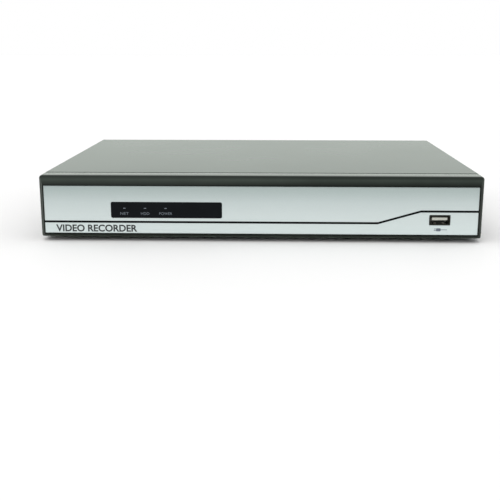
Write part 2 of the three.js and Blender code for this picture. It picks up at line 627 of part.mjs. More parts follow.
function fanFrame() {
  const half = FAN.size / 2;
  const deep = [-FAN.depth / 2, FAN.depth / 2];
  const frame = cut(
    block(deep, [-half, half], [-half, half]),
    bar("x", FAN.bore, [deep[0] - 1, deep[1] + 1], [0, 0], 28),
    ...[-1, 1].flatMap((a) => [-1, 1].map((b) => bar("x", 1.7, [deep[0] - 1, deep[1] + 1], [a * 16, b * 16], 8))),
  );
  const motorSeat = bar("x", FAN_HUB_R + 0.5, [FAN_MOTOR_X, deep[1]], [0, 0], 16);
  const strut = (turn) => {
    const arm = new THREE.BoxGeometry(2, 2.4, 2 * FAN.bore + 0.6).translate(deep[1] - 1, 0, 0);
    return solid(arm.rotateX(turn));
  };
  return join(frame, motorSeat, strut(Math.PI / 4), strut(-Math.PI / 4));
}

function fanRotor() {
  const hub = bar("x", FAN_HUB_R, [-FAN.depth / 2 + 0.8, FAN_MOTOR_X - 0.5], [0, 0], 16);
  const count = 7;
  const blades = Array.from({ length: count }, (_, i) => {
    const blade = new THREE.BoxGeometry(7, 1, 10).rotateZ(Math.PI / 4).translate(-1.2, 0, FAN_HUB_R + 4.2);
    return solid(blade.rotateX((i * 2 * Math.PI) / count));
  });
  return join(hub, ...blades);
}

// The drive is drawn about the middle of its underside, its connectors towards -Y.
const DRIVE_LID_T = 1.5;
const DRIVE_CAVITY_Z = 5; // floor of the bay that the platters turn in
const DRIVE_RECESS = { halfW: 45, rear: -6, deep: 1.9 };
const DRIVE_PLUG = { left: -42, right: -7, deep: 8, high: 6 };

function driveBase() {
  const top = DRIVE.h - DRIVE_LID_T - GAP;
  const [halfW, halfL] = [DRIVE.w / 2, DRIVE.l / 2];
  const casting = plateXY(roundedRect([-halfW, halfW], [-halfL, halfL], 2.5), 0, top, 2);
  const platterBay = bar("z", PLATTER_R + 0.8, [DRIVE_CAVITY_Z, top + 1], [SPINDLE.x, SPINDLE.y], 36);
  const armBay = block([-46, 46], [-56, 0], [DRIVE_CAVITY_Z, top + 1]);
  const recess = block([-DRIVE_RECESS.halfW, DRIVE_RECESS.halfW], [-halfL - 1, DRIVE_RECESS.rear],
    [-1, DRIVE_RECESS.deep]);
  const plugBay = block([DRIVE_PLUG.left, DRIVE_PLUG.right], [-halfL - 1, -halfL + DRIVE_PLUG.deep],
    [-1, DRIVE_PLUG.high]);
  const holes = DRIVE_HOLES.map(({ x, y }) => bar("z", 1.9, [-1, 4.3], [x, y], 10));
  return cut(casting, join(platterBay, armBay), recess, plugBay, ...holes);
}

function driveLid() {
  const [halfW, halfL] = [DRIVE.w / 2 - 0.6, DRIVE.l / 2 - 0.6];
  return plateXY(roundedRect([-halfW, halfW], [-halfL, halfL], 3), DRIVE.h - DRIVE_LID_T, DRIVE.h);
}

/** Two platters on their spindle hub, turned about Z; z is from the drive's underside. */
function drivePlatters() {
  const [hub, disc] = [14, 1.3];
  const decks = [9, 14.5];
  const profile = [[0, DRIVE_CAVITY_Z + 0.6], [hub, DRIVE_CAVITY_Z + 0.6]];
  for (const z of decks) profile.push([hub, z], [PLATTER_R, z], [PLATTER_R, z + disc], [hub, z + disc]);
  profile.push([hub, decks[1] + 4], [0, decks[1] + 4]);
  return turned(profile, 30).rotate([90, 0, 0]);
}

/** The head arms and voice coil, drawn about the pivot with the heads towards +X. */
function driveArm() {
  const reach = polygon([[0, -6], [42, -1.8], [ARM_REACH, -1.5], [ARM_REACH, 1.5], [42, 1.8], [0, 6]]);
  const arms = [7.2, 12.1, 17].map((z) => plateXY(reach, z, z + 0.9));
  const tail = plateXY(polygon([[0, -5], [0, 5], [-14, 8], [-17, 6], [-17, -6], [-14, -8]]), 11.4, 13.2);
  return join(bar("z", 7, [DRIVE_CAVITY_Z + 0.6, 19.4], [0, 0], 14), ...arms, tail);
}

function driveBoard() {
  const front = -DRIVE.l / 2;
  const inset = DRIVE_RECESS.halfW - SMALL_GAP;
  const card = block([-inset, inset], [front + 0.4, DRIVE_RECESS.rear - GAP], [0.1, 1.5]);
  const plugs = block([DRIVE_PLUG.left + 0.5, DRIVE_PLUG.right - 0.5], [front, front + DRIVE_PLUG.deep - 0.5],
    [0.1, DRIVE_PLUG.high - 0.4]);
  return join(card, plugs);
}

// ---------------------------------------------------------------- leads
const route = (points) => new THREE.CatmullRomCurve3(points.map((p) => new THREE.Vector3(...p)), false, "centripetal");

/** A round lead along a route. */
function lead(points, diameter, steps) {
  const section = new THREE.Shape().absarc(0, 0, diameter / 2, 0, 2 * Math.PI);
  const settings = { steps, curveSegments: 4, bevelEnabled: false, extrudePath: route(points) };
  return solid(new THREE.ExtrudeGeometry(section, settings));
}

/** A flat lead whose route keeps to one X, its width along X. */
function ribbon(points, width, thick, steps) {
  const path = route(points);
  const across = Math.abs(path.computeFrenetFrames(steps).normals[0].x) > 0.5;
  const [w, h] = across ? [width / 2, thick / 2] : [thick / 2, width / 2];
  const section = polygon([[-w, -h], [w, -h], [w, h], [-w, h]]);
  return solid(new THREE.ExtrudeGeometry(section, { steps, bevelEnabled: false, extrudePath: path }));
}

const plugBlock = ([x, y, z], [w, l, h]) => block([x - w / 2, x + w / 2], [y - l / 2, y + l / 2], [z - h / 2, z + h / 2]);

const DRIVE_FRONT_Y = DRIVE.y - DRIVE.l / 2;
const DATA_ROUTE = [[69, -52, 9.5], [69, -60, 9.5], [66, -69, 12], [54, -75, 17], [39, -72, 20], [29, -60, 20.5],
  [25, -42, 20], [24, -26, 20], [24, -12, 20], [24, -3, 17.5], [24, 0, 14]];
const POWER_ROUTE = [[84, -52, 9.5], [84, -64, 9.5], [80, -78, 13], [66, -88, 19], [42, -92, 22], [20, -86, 22],
  [8, -70, 20], [3, -50, 19], [2, -28, 19], [2, -10, 19.5], [2, -3, 18], [2, 0, 14]];
const RIBBON_ROUTE = [[-20, -112, 20.5], [-20, -104, 20.5], [-20, -94, 18], [-20, -80, 10], [-20, -62, 6.5],
  [-20, -40, 6.5], [-20, -22, 11], [-20, -12, 19], [-20, -4, 20], [-20, -0.5, 15]];
const FAN_ROUTE = [[-149.5, -33.9, 12], [-146, -31, 11], [-139, -25, 9.5], [-132, -16, 12], [-130, -8, 16],
  [-129, -3, 16], [-128.5, 0, 13]];

function diskDataCable() {
  return join(
    lead(DATA_ROUTE, 5, 30),
    plugBlock([69, DRIVE_FRONT_Y - 3.8, 9.5], [15, 7, 5]),
    plugBlock([24, 0, 12.5], [14, 5, 5]),
  );
}

function diskPowerCable() {
  return join(
    lead(POWER_ROUTE, 5, 34),
    plugBlock([86.5, DRIVE_FRONT_Y - 3.8, 9.5], [18, 7, 5]),
    plugBlock([2, 0, 12.5], [11, 6, 5]),
  );
}

function frontRibbon() {
  return join(
    ribbon(RIBBON_ROUTE, 12, 1, 30),
    plugBlock([-20, -111, 20.5], [15, 3, 4.6]),
    plugBlock([-20, 0, 12.6], [15, 5, 5]),
  );
}

function fanLead() {
  return join(lead(FAN_ROUTE, 2.6, 18), plugBlock([-128.5, 0, 12.3], [7, 5, 4.6]));
}

// ---------------------------------------------------------------- assembly
const recorder = new THREE.Group();
const m = materials;

recorder.add(piece("chassis_pan", chassisPan(), m.panelPaint));
recorder.add(piece("top_cover", topCover(), m.coverPaint));

const coverScrews = { left: [-SIDE_SCREW.x, SIDE_SCREW.z], right: [SIDE_SCREW.x, SIDE_SCREW.z],
  top: [TOP_SCREW.x, TOP_SCREW.z] };
for (const [place, [x, z]] of Object.entries(coverScrews)) {
  const screw = panScrew(2.9, 1.9, 1.4, 6);
  recorder.add(piece(`cover_screw_${place}`, screw, m.blackScrew, [x, COVER_REAR_Y + SMALL_GAP, z]));
}

const feet = { front_left: [-130, -80], front_right: [130, -80], rear_left: [-130, 78], rear_right: [130, 78] };
for (const [place, [x, y]] of Object.entries(feet)) {
  recorder.add(piece(`foot_${place}`, foot().rotate([90, 0, 0]), m.rubber, [x, y, 0]));
}

recorder.add(piece("front_bezel", frontBezel(), m.bezelPlastic));
recorder.add(piece("fascia_plate", fasciaPlate(), m.fasciaSilver));
recorder.add(piece("indicator_window", indicatorWindow(), m.smokedWindow));
recorder.add(piece("front_board", frontBoard(), m.boardGreen));

const lamps = { network: -99.5, disk: -84.3, power: -69.2 };
for (const [use, x] of Object.entries(lamps)) {
  recorder.add(piece(`indicator_${use}`, indicatorLamp(), m.indicator, [x, FRONT_BOARD.face, BASE_Z + 22.4]));
}
recorder.add(piece("remote_receiver", remoteReceiver(), m.chipBlack, [-45, FRONT_BOARD.face, BASE_Z + 21]));

const frontUsb = new THREE.Group();
frontUsb.position.set(FRONT_USB.x, FRONT_Y + FASCIA.recess - 0.1, FRONT_USB.z);
frontUsb.rotation.z = Math.PI; // its mouth faces the front
frontUsb.add(piece("front_usb_shell", usbShell(14.4, 6.8, 13), m.tinnedSteel));
frontUsb.add(piece("front_usb_tongue", tongue([13, 5.4], [11.2, 1.9], 13, 0.9), m.socketWhite));
recorder.add(frontUsb);

/** A group standing on the rear panel's outer face at one port's place. */
function portGroup({ across, up }) {
  const group = new THREE.Group();
  group.position.set(rearX(across), PANEL_Y, rearZ(up));
  recorder.add(group);
  return group;
}

let number = 0;
for (const up of PORTS.videoUp) {
  for (const across of PORTS.videoAcross) {
    number += 1;
    const socket = portGroup({ across, up });
    const legLow = up === PORTS.videoUp[0] ? PORT_FLOOR - rearZ(up) : -COAX.body;
    socket.add(piece(`video_socket_${number}`, coaxialSocket(-COAX.body, legLow), m.nickel));
    socket.add(piece(`video_insulator_${number}`, coaxialInsulator(), m.socketWhite));
  }
}
const audio = portGroup(PORTS.audio);
audio.add(piece("audio_socket", coaxialSocket(PORT_FLOOR - rearZ(PORTS.audio.up)), m.nickel));
audio.add(piece("audio_insulator", coaxialInsulator(), m.socketWhite));

const vga = portGroup(PORTS.vga);
vga.add(piece("vga_shell", vgaShell(), m.tinnedSteel));
vga.add(piece("vga_insert", vgaInsert(), m.vgaBlue));
vga.add(piece("vga_jackscrew_left", vgaJackscrew(), m.nickel, [-VGA.screwPitch / 2, 0, 0]));
vga.add(piece("vga_jackscrew_right", vgaJackscrew(), m.nickel, [VGA.screwPitch / 2, 0, 0]));

const hdmi = portGroup(PORTS.hdmi);
hdmi.add(piece("hdmi_shell", hdmiShell(), m.tinnedSteel));
hdmi.add(piece("hdmi_tongue", hdmiTongue(), m.blackPlastic));

const stack = portGroup(PORTS.stack);
stack.add(piece("port_stack_housing", stackHousing(), m.tinnedSteel));
stack.add(piece("lan_insert", lanInsert(), m.blackPlastic));
["upper", "lower"].forEach((level, i) => {
  const size = [STACK_USB.w - 2 * SMALL_GAP, STACK_USB.h - 2 * SMALL_GAP];
  const insert = tongue(size, [11.2, 1.9], STACK_USB.deep, 0.9);
  stack.add(piece(`usb_tongue_${level}`, insert, m.blackPlastic, [0, 0, STACK_USB.up[i]]));
});

portGroup(PORTS.terminal).add(piece("terminal_header", terminalHeader(), m.terminalGreen));
const power = portGroup(PORTS.power);
power.add(piece("power_jack", powerJack(), m.blackPlastic));
power.add(piece("power_jack_pin", powerJackPin(), m.nickel, [0, 0, POWER.boreUp]));

recorder.add(piece("main_board", mainBoard(), m.boardGreen));
const CHIP = { x: -58, y: 38, size: 27, h: 2 };
const chipBlock = block([-CHIP.size / 2, CHIP.size / 2], [-CHIP.size / 2, CHIP.size / 2], [0, CHIP.h]);
recorder.add(piece("main_chip", chipBlock, m.chipBlack, [CHIP.x, CHIP.y, PORT_FLOOR]));
const sinkZ = PORT_FLOOR + CHIP.h + SMALL_GAP;
recorder.add(piece("heat_sink", heatSink(38, 11, 9), m.heatSink, [CHIP.x, CHIP.y, sinkZ]));

const fan = new THREE.Group();
fan.position.set(-PAN_HALF_W + SHEET + FAN.inset + FAN.depth / 2, FAN.y, FAN.z); // clear of the bent corner
fan.add(piece("fan_frame", fanFrame(), m.blackPlastic));
fan.add(piece("fan_rotor", fanRotor(), m.blackPlastic));
recorder.add(fan);

const drive = new THREE.Group();
drive.position.set(DRIVE.x, DRIVE.y, DRIVE.z);
drive.add(piece("drive_base", driveBase(), m.driveCasting));
drive.add(piece("drive_lid", driveLid(), m.driveLid));
drive.add(piece("drive_platters", drivePlatters(), m.platterMirror, [SPINDLE.x, SPINDLE.y, 0]));
const arm = piece("drive_arm", driveArm(), m.driveLid, [PIVOT.x, PIVOT.y, 0]);
arm.rotation.z = THREE.MathUtils.degToRad(PARKED_DEG);
drive.add(arm);
drive.add(piece("drive_board", driveBoard(), m.boardGreen));
DRIVE_HOLES.forEach(({ x, y }, i) => {
  const screw = panScrew(2.8, 1.5, 1.5, 7.2).rotate([-90, 0, 0]);
  drive.add(piece(`drive_screw_${i + 1}`, screw, m.zincScrew, [x, y, BASE_Z - DRIVE.z - SMALL_GAP]));
});
recorder.add(drive);

recorder.add(piece("disk_data_cable", diskDataCable(), m.redCable));
recorder.add(piece("disk_power_cable", diskPowerCable(), m.blackCable));
recorder.add(piece("front_ribbon", frontRibbon(), m.greyRibbon));
recorder.add(piece("fan_lead", fanLead(), m.blackCable));

export default recorder;
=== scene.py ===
"""Looks of the video recorder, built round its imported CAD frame. Lengths are in millimetres."""
import math
import random

import bmesh
import bpy
import numpy as np
from mathutils import Matrix, Vector


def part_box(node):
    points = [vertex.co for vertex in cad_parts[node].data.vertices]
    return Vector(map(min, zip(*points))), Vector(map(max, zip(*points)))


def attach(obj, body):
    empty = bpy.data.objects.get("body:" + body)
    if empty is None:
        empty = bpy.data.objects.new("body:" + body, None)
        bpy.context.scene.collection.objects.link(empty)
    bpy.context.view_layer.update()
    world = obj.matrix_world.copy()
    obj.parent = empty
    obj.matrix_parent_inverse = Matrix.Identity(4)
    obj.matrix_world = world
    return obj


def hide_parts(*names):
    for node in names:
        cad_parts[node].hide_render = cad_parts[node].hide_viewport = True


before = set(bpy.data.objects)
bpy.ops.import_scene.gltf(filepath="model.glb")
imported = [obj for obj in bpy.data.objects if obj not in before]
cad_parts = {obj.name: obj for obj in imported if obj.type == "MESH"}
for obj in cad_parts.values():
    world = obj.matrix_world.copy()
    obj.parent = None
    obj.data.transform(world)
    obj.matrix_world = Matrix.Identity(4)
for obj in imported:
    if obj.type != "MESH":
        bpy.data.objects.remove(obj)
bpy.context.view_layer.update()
MM = 0.001
CHASSIS, COVER = "chassis", "cover"


def node_box(name):
    """A CAD node's lowest and highest corner, in millimetres."""
    low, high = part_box(name)
    return low / MM, high / MM


# ---------------------------------------------------------------- materials
def srgb(red, green, blue):
    """A colour of 0 to 255 as it looks on a screen, in the linear values that a shader takes."""
    def linear(value):
        value /= 255
        return value / 12.92 if value <= 0.04045 else ((value + 0.055) / 1.055) ** 2.4
    return (linear(red), linear(green), linear(blue), 1.0)


def shade(colour, factor):
    return (*(min(1.0, c * factor) for c in colour[:3]), 1.0)


class Surface:
    """A Principled material. Its colour, gloss and relief vary with noise laid out in the object's own space."""

    def __init__(self, name, colour, roughness, metallic=0.0, **sockets):
        self.material = bpy.data.materials.new(name)
        self.material.use_nodes = True
        self.tree = self.material.node_tree
        self.shader = self.tree.nodes["Principled BSDF"]
        self.colour, self.roughness = colour, roughness
        self.shader.inputs["Base Color"].default_value = colour
        self.shader.inputs["Roughness"].default_value = roughness
        self.shader.inputs["Metallic"].default_value = metallic
        for socket, value in sockets.items():
            self.shader.inputs[socket.replace("_", " ")].default_value = value
        self.place = self.add("ShaderNodeTexCoord").outputs["Object"]
        self.normal = None

    def add(self, kind, **settings):
        node = self.tree.nodes.new(kind)
        for key, value in settings.items():
            setattr(node, key, value)
        return node

    def link(self, output, socket):
        self.tree.links.new(output, socket)

    def stretched(self, stretch):
        mapping = self.add("ShaderNodeMapping")
        mapping.inputs["Scale"].default_value = stretch
        self.link(self.place, mapping.inputs["Vector"])
        return mapping.outputs["Vector"]

    def noise(self, size, detail=3.0, stretch=(1, 1, 1)):
        """Noise whose spots are about size across."""
        node = self.add("ShaderNodeTexNoise")
        node.inputs["Scale"].default_value = 1 / (size * MM)
        node.inputs["Detail"].default_value = detail
        self.link(self.stretched(stretch), node.inputs["Vector"])
        return node.outputs["Fac"]

    def spread(self, value, low, high, at=(0.3, 0.7)):
        node = self.add("ShaderNodeMapRange")
        node.inputs["From Min"].default_value, node.inputs["From Max"].default_value = at
        node.inputs["To Min"].default_value, node.inputs["To Max"].default_value = low, high
        self.link(value, node.inputs["Value"])
        return node.outputs["Result"]

    def blend(self, factor, first, second):
        node = self.add("ShaderNodeMix", data_type="RGBA")
        for socket, value in ((node.inputs[0], factor), (node.inputs[6], first), (node.inputs[7], second)):
            if isinstance(value, bpy.types.NodeSocket):
                self.link(value, socket)
            else:
                socket.default_value = value
        return node.outputs[2]

    def by_height(self, node, painted_light_stops):
        """Painted light that follows the height in a CAD node's box: each stop is (part of the height, colour)."""
        low, high = node_box(node)
        split = self.add("ShaderNodeSeparateXYZ")
        self.link(self.place, split.inputs["Vector"])
        ramp = self.add("ShaderNodeValToRGB")
        for _ in painted_light_stops[2:]:
            ramp.color_ramp.elements.new(0.5)
        for stop, (place, painted_light_colour) in zip(ramp.color_ramp.elements, painted_light_stops):
            stop.position, stop.color = place, srgb(*painted_light_colour)
        self.link(self.spread(split.outputs["Z"], 0.0, 1.0, (low.z * MM, high.z * MM)), ramp.inputs["Fac"])
        return ramp.outputs["Color"]

    def paint(self, output):
        self.link(output, self.shader.inputs["Base Color"])
        return self

    def mottle(self, amount, size, stretch=(1, 1, 1)):
        """Colour that wanders a little either side of its middle value."""
        fac = self.spread(self.noise(size, 4.0, stretch), 0.0, 1.0)
        return self.paint(self.blend(fac, shade(self.colour, 1 - amount), shade(self.colour, 1 + amount)))

    def gloss(self, amount, size, stretch=(1, 1, 1)):
        value = self.spread(self.noise(size, 5.0, stretch), self.roughness - amount, self.roughness + amount)
        self.link(value, self.shader.inputs["Roughness"])
        return self

    def relief(self, height, size, strength=0.6, stretch=(1, 1, 1), source=None):
        """Bumps of some height, on top of any already there."""
        bump = self.add("ShaderNodeBump")
        bump.inputs["Strength"].default_value = strength
        bump.inputs["Distance"].default_value = height * MM
        self.link(source or self.noise(size, 3.0, stretch), bump.inputs["Height"])
        if self.normal:
            self.link(self.normal, bump.inputs["Normal"])
        self.normal = bump.outputs["Normal"]
        self.link(self.normal, self.shader.inputs["Normal"])
        return self


def circuit_board(name, colour):
    """Green solder resist with tracks that run in straight and slanted lines, and small bright pads."""
    s = Surface(name, colour, 0.35)
    cells = s.add("ShaderNodeTexVoronoi", feature="DISTANCE_TO_EDGE", distance="EUCLIDEAN")
    cells.inputs["Scale"].default_value = 1 / (5.5 * MM)
    s.link(s.stretched((1, 1.6, 1)), cells.inputs["Vector"])
    tracks = s.spread(cells.outputs["Distance"], 1.0, 0.0, (0.03, 0.07))
    dots = s.add("ShaderNodeTexVoronoi", feature="F1")
    dots.inputs["Scale"].default_value = 1 / (4.2 * MM)
    s.link(s.place, dots.inputs["Vector"])
    pads = s.spread(dots.outputs["Distance"], 1.0, 0.0, (0.10, 0.13))
    base = s.blend(s.spread(s.noise(30), 0.0, 1.0), shade(colour, 0.85), shade(colour, 1.15))
    green = s.blend(tracks, base, shade(colour, 1.7))
    s.paint(s.blend(pads, green, srgb(196, 186, 150)))
    s.relief(0.03, 1, 0.5, source=tracks)
    s.gloss(0.08, 20)
    return s.material


def make_materials():
    m = {}

    def put(key, name, colour, *values, **sockets):
        s = Surface(name, srgb(*colour), *values, **sockets)
        m[key] = s.material
        return s

    put("cover_paint", "black_cover_paint", (14, 16, 17), 0.2, Specular_IOR_Level=0.12,
        Specular_Tint=(0.9, 1.0, 0.92, 1.0), Sheen_Weight=0.28, Sheen_Roughness=0.35,
        Sheen_Tint=(0.72, 1.0, 0.74, 1.0)).mottle(0.03, 90).gloss(0.008, 60).relief(0.003, 0.5, 0.3)
    put("panel_paint", "grey_panel_paint", (170, 180, 192), 0.42, 0.15).mottle(0.035, 40).gloss(
        0.06, 30).relief(0.012, 0.6, 0.5).relief(0.02, 7, 0.1)
    m["bezel_gloss"] = bezel_plastic().material
    put("groove_black", "groove_black", (6, 7, 9), 0.5, Specular_IOR_Level=0.1).mottle(0.2, 3).relief(
        0.004, 0.4)
    put("smoked", "smoked_window", (13, 16, 19), 0.1, Specular_IOR_Level=0.06).mottle(0.12, 12).gloss(0.02, 9)
    put("ink", "printed_ink", (14, 17, 20), 0.5).mottle(0.12, 1.5).relief(0.004, 0.3)
    put("ink_pale", "printed_ink_pale", (92, 100, 112), 0.5).mottle(0.1, 1.5).relief(0.004, 0.3)
    put("label_black", "label_black", (9, 10, 17), 0.4, Specular_IOR_Level=0.2).mottle(0.12, 2).relief(
        0.003, 0.3)
    put("label_white", "label_white", (222, 226, 230), 0.5).mottle(0.04, 1.5).relief(0.003, 0.3)
    put("window_mark", "window_mark", (98, 106, 114), 0.4).mottle(0.06, 1.5).relief(0.003, 0.3)
    put("rubber", "foot_rubber", (26, 26, 27), 0.85).mottle(0.15, 4).relief(0.05, 0.5)
    put("nickel", "nickel_plate", (206, 196, 184), 0.2, 1.0).mottle(0.06, 3).gloss(0.07, 2).relief(
        0.006, 0.35, 0.5, (1, 3, 1))
    put("gold", "gold_plate", (224, 178, 92), 0.25, 1.0).mottle(0.06, 1.5).gloss(0.06, 1)
    put("tinned", "tinned_steel", (148, 136, 123), 0.34, 0.9).mottle(0.07, 5).gloss(0.1, 3).relief(
        0.01, 0.8, 0.5, (3, 1, 1))
    put("dark_steel", "blackened_steel", (34, 33, 36), 0.36, 0.7).mottle(0.2, 1.2).gloss(0.08, 1)
    put("zinc", "zinc_plate", (196, 198, 202), 0.3, 0.9).mottle(0.08, 1.5).gloss(0.1, 1)
    put("white_plastic", "socket_white", (232, 222, 202), 0.42, Subsurface_Weight=0.05).mottle(
        0.05, 2).relief(0.006, 0.5)
    put("black_plastic", "moulded_black", (24, 24, 26), 0.45).mottle(0.15, 5).gloss(0.06, 4).relief(
        0.012, 0.4, 0.5)
    put("pale_plastic", "tongue_grey", (190, 192, 182), 0.45).mottle(0.05, 2).relief(0.006, 0.5)
    # painted shade: a darker copy of the tinned steel, standing in for the shadow in the gap round the front
    # socket's shell
    put("painted_shade_steel", "painted_shade_steel", (52, 52, 46), 0.3, 0.9).mottle(0.08, 3).gloss(0.06, 2)
    put("vga_blue", "socket_blue", (6, 84, 142), 0.38).mottle(0.06, 3).relief(0.008, 0.4)
    put("terminal_green", "terminal_green", (34, 128, 56), 0.4).mottle(0.08, 2).relief(0.01, 0.4)
    put("lamp_yellow", "lamp_yellow", (206, 186, 70), 0.3, Subsurface_Weight=0.1).mottle(0.06, 1)
    put("lamp_green", "lamp_green", (96, 168, 96), 0.3, Subsurface_Weight=0.1).mottle(0.06, 1)
    put("lamp_clear", "lamp_clear", (198, 210, 206), 0.12, Coat_Weight=0.6, Coat_Roughness=0.05).mottle(0.05, 1)
    put("chip", "chip_epoxy", (32, 33, 36), 0.55).mottle(0.12, 3).relief(0.012, 0.25, 0.6)
    put("ceramic", "ceramic_tan", (170, 142, 104), 0.5).mottle(0.15, 0.8)
    put("can", "capacitor_can", (190, 194, 200), 0.25, 0.95).mottle(0.05, 3).gloss(0.06, 2)
    put("aluminium", "extruded_aluminium", (166, 170, 174), 0.38, 0.95).mottle(0.06, 6).gloss(
        0.08, 3, (1, 0.1, 1)).relief(0.01, 0.5, 0.5, (1, 0.06, 1))
    put("casting", "cast_aluminium", (124, 127, 131), 0.5, 0.85).mottle(0.08, 8).gloss(0.1, 3).relief(
        0.03, 0.6, 0.5)
    put("lid", "pressed_lid", (190, 193, 197), 0.3, 0.95).mottle(0.04, 20).gloss(
        0.09, 4, (1, 0.04, 1)).relief(0.006, 0.3, 0.5, (1, 0.03, 1))
    put("ferrite", "ferrite_grey", (58, 58, 60), 0.6).mottle(0.15, 1.5).relief(0.02, 0.3, 0.6)
    put("platter", "platter_mirror", (222, 222, 224), 0.06, 1.0).mottle(0.02, 30).gloss(0.02, 10)
    put("sticker", "blank_sticker", (206, 207, 203), 0.5).mottle(0.03, 12).relief(0.01, 2, 0.3)
    put("wire_red", "wire_red", (176, 30, 34), 0.42).mottle(0.08, 4).relief(0.01, 0.8)
    put("wire_black", "wire_black", (26, 26, 28), 0.45).mottle(0.12, 4).relief(0.01, 0.8)
    put("wire_yellow", "wire_yellow", (214, 176, 40), 0.42).mottle(0.06, 4).relief(0.01, 0.8)
    put("ribbon", "ribbon_grey", (158, 163, 168), 0.5).mottle(0.06, 6).relief(0.01, 0.8)
    m["board"] = circuit_board("board_green", srgb(24, 84, 48))
    m["fascia"] = silver_fascia().material
    return m


def silver_fascia():
    """Silver paint over a moulding: fine metal flake, and painted shade that darkens the plate towards its top edge,
    so it lightens from the top edge down.
    """
    s = Surface("silver_fascia", srgb(190, 200, 199), 0.38, 0.35, Specular_IOR_Level=0.3)
    # painted shade: the plate's colour darkens towards its top edge
    painted_light_colour = s.by_height("fascia_plate", ((0.05, (208, 219, 218)), (0.40, (200, 210, 209)),
                                        (0.66, (188, 199, 198)),
                                        (0.90, (165, 178, 176)), (1.0, (158, 171, 169))))
    s.paint(s.blend(s.spread(s.noise(0.25, 2.0), 0.0, 0.12), painted_light_colour, srgb(228, 233, 233)))
    return s.gloss(0.03, 12).relief(0.002, 0.25, 0.3)


def bezel_plastic():
    """Black gloss plastic with painted light by height: a painted highlight band high on its shoulder, and painted
    shade, near black, along its bottom edge.
    """
    s = Surface("black_bezel_gloss", srgb(10, 12, 11), 0.16, Specular_IOR_Level=0.1,
                Specular_Tint=(0.9, 1.0, 0.92, 1.0), Sheen_Weight=0.26, Sheen_Roughness=0.35,
                Sheen_Tint=(0.72, 1.0, 0.74, 1.0))
    # painted light: a painted highlight band high on the shoulder, and painted shade, near black, at the bottom edge
    painted_light_colour = s.by_height("front_bezel", ((0.0, (2, 2, 3)), (0.12, (8, 9, 9)), (0.85, (12, 15, 13)),
                                       (0.94, (52, 59, 54)),
                                       (1.0, (16, 19, 18))))
    s.paint(s.blend(s.spread(s.noise(25), 0.0, 0.2), painted_light_colour, srgb(8, 9, 9)))
    return s.gloss(0.02, 18).relief(0.003, 0.5, 0.3)


# ---------------------------------------------------------------- shapes
def arc(centre, radius, start, stop, steps):
    """Points on an arc, in degrees."""
    turns = [math.radians(start + (stop - start) * i / steps) for i in range(steps + 1)]
    return [(centre[0] + radius * math.cos(t), centre[1] + radius * math.sin(t)) for t in turns]


def circle(centre, radius, sides=32):
    return arc(centre, radius, 0, 360 * (sides - 1) / sides, sides - 1)


def rounded(points, radius, steps=5):
    """A polygon with each corner rounded. radius is one number, or one for each corner."""
    radii = radius if isinstance(radius, (list, tuple)) else [radius] * len(points)
    out = []
    for i, (corner, r) in enumerate(zip(points, radii)):
        p = Vector(corner)
        before, after = Vector(points[i - 1]) - p, Vector(points[(i + 1) % len(points)]) - p
        if r < 1e-6:
            out.append(tuple(p))
            continue
        half = before.angle(after) / 2
        reach = min(r / math.tan(half), 0.49 * before.length, 0.49 * after.length)
        start, stop = p + before.normalized() * reach, p + after.normalized() * reach
        middle = p + (before.normalized() + after.normalized()).normalized() * (reach / math.cos(half))
        a, b = start - middle, stop - middle
        turn = math.atan2(a.cross(b), a.dot(b))
        for k in range(steps + 1):
            out.append(tuple(middle + Matrix.Rotation(turn * k / steps, 2) @ a))
    return out


def span(middle, half):
    return middle - half, middle + half


def rect(x0, x1, y0, y1, radius=0.0, steps=5):
    corners = [(x0, y0), (x1, y0), (x1, y1), (x0, y1)]
    return rounded(corners, radius, steps) if radius else corners


AXES = {
    "x": Matrix(((0, 0, 1), (1, 0, 0), (0, 1, 0))),
    "y": Matrix(((1, 0, 0), (0, 0, 1), (0, 1, 0))),
    "z": Matrix.Identity(3),
}


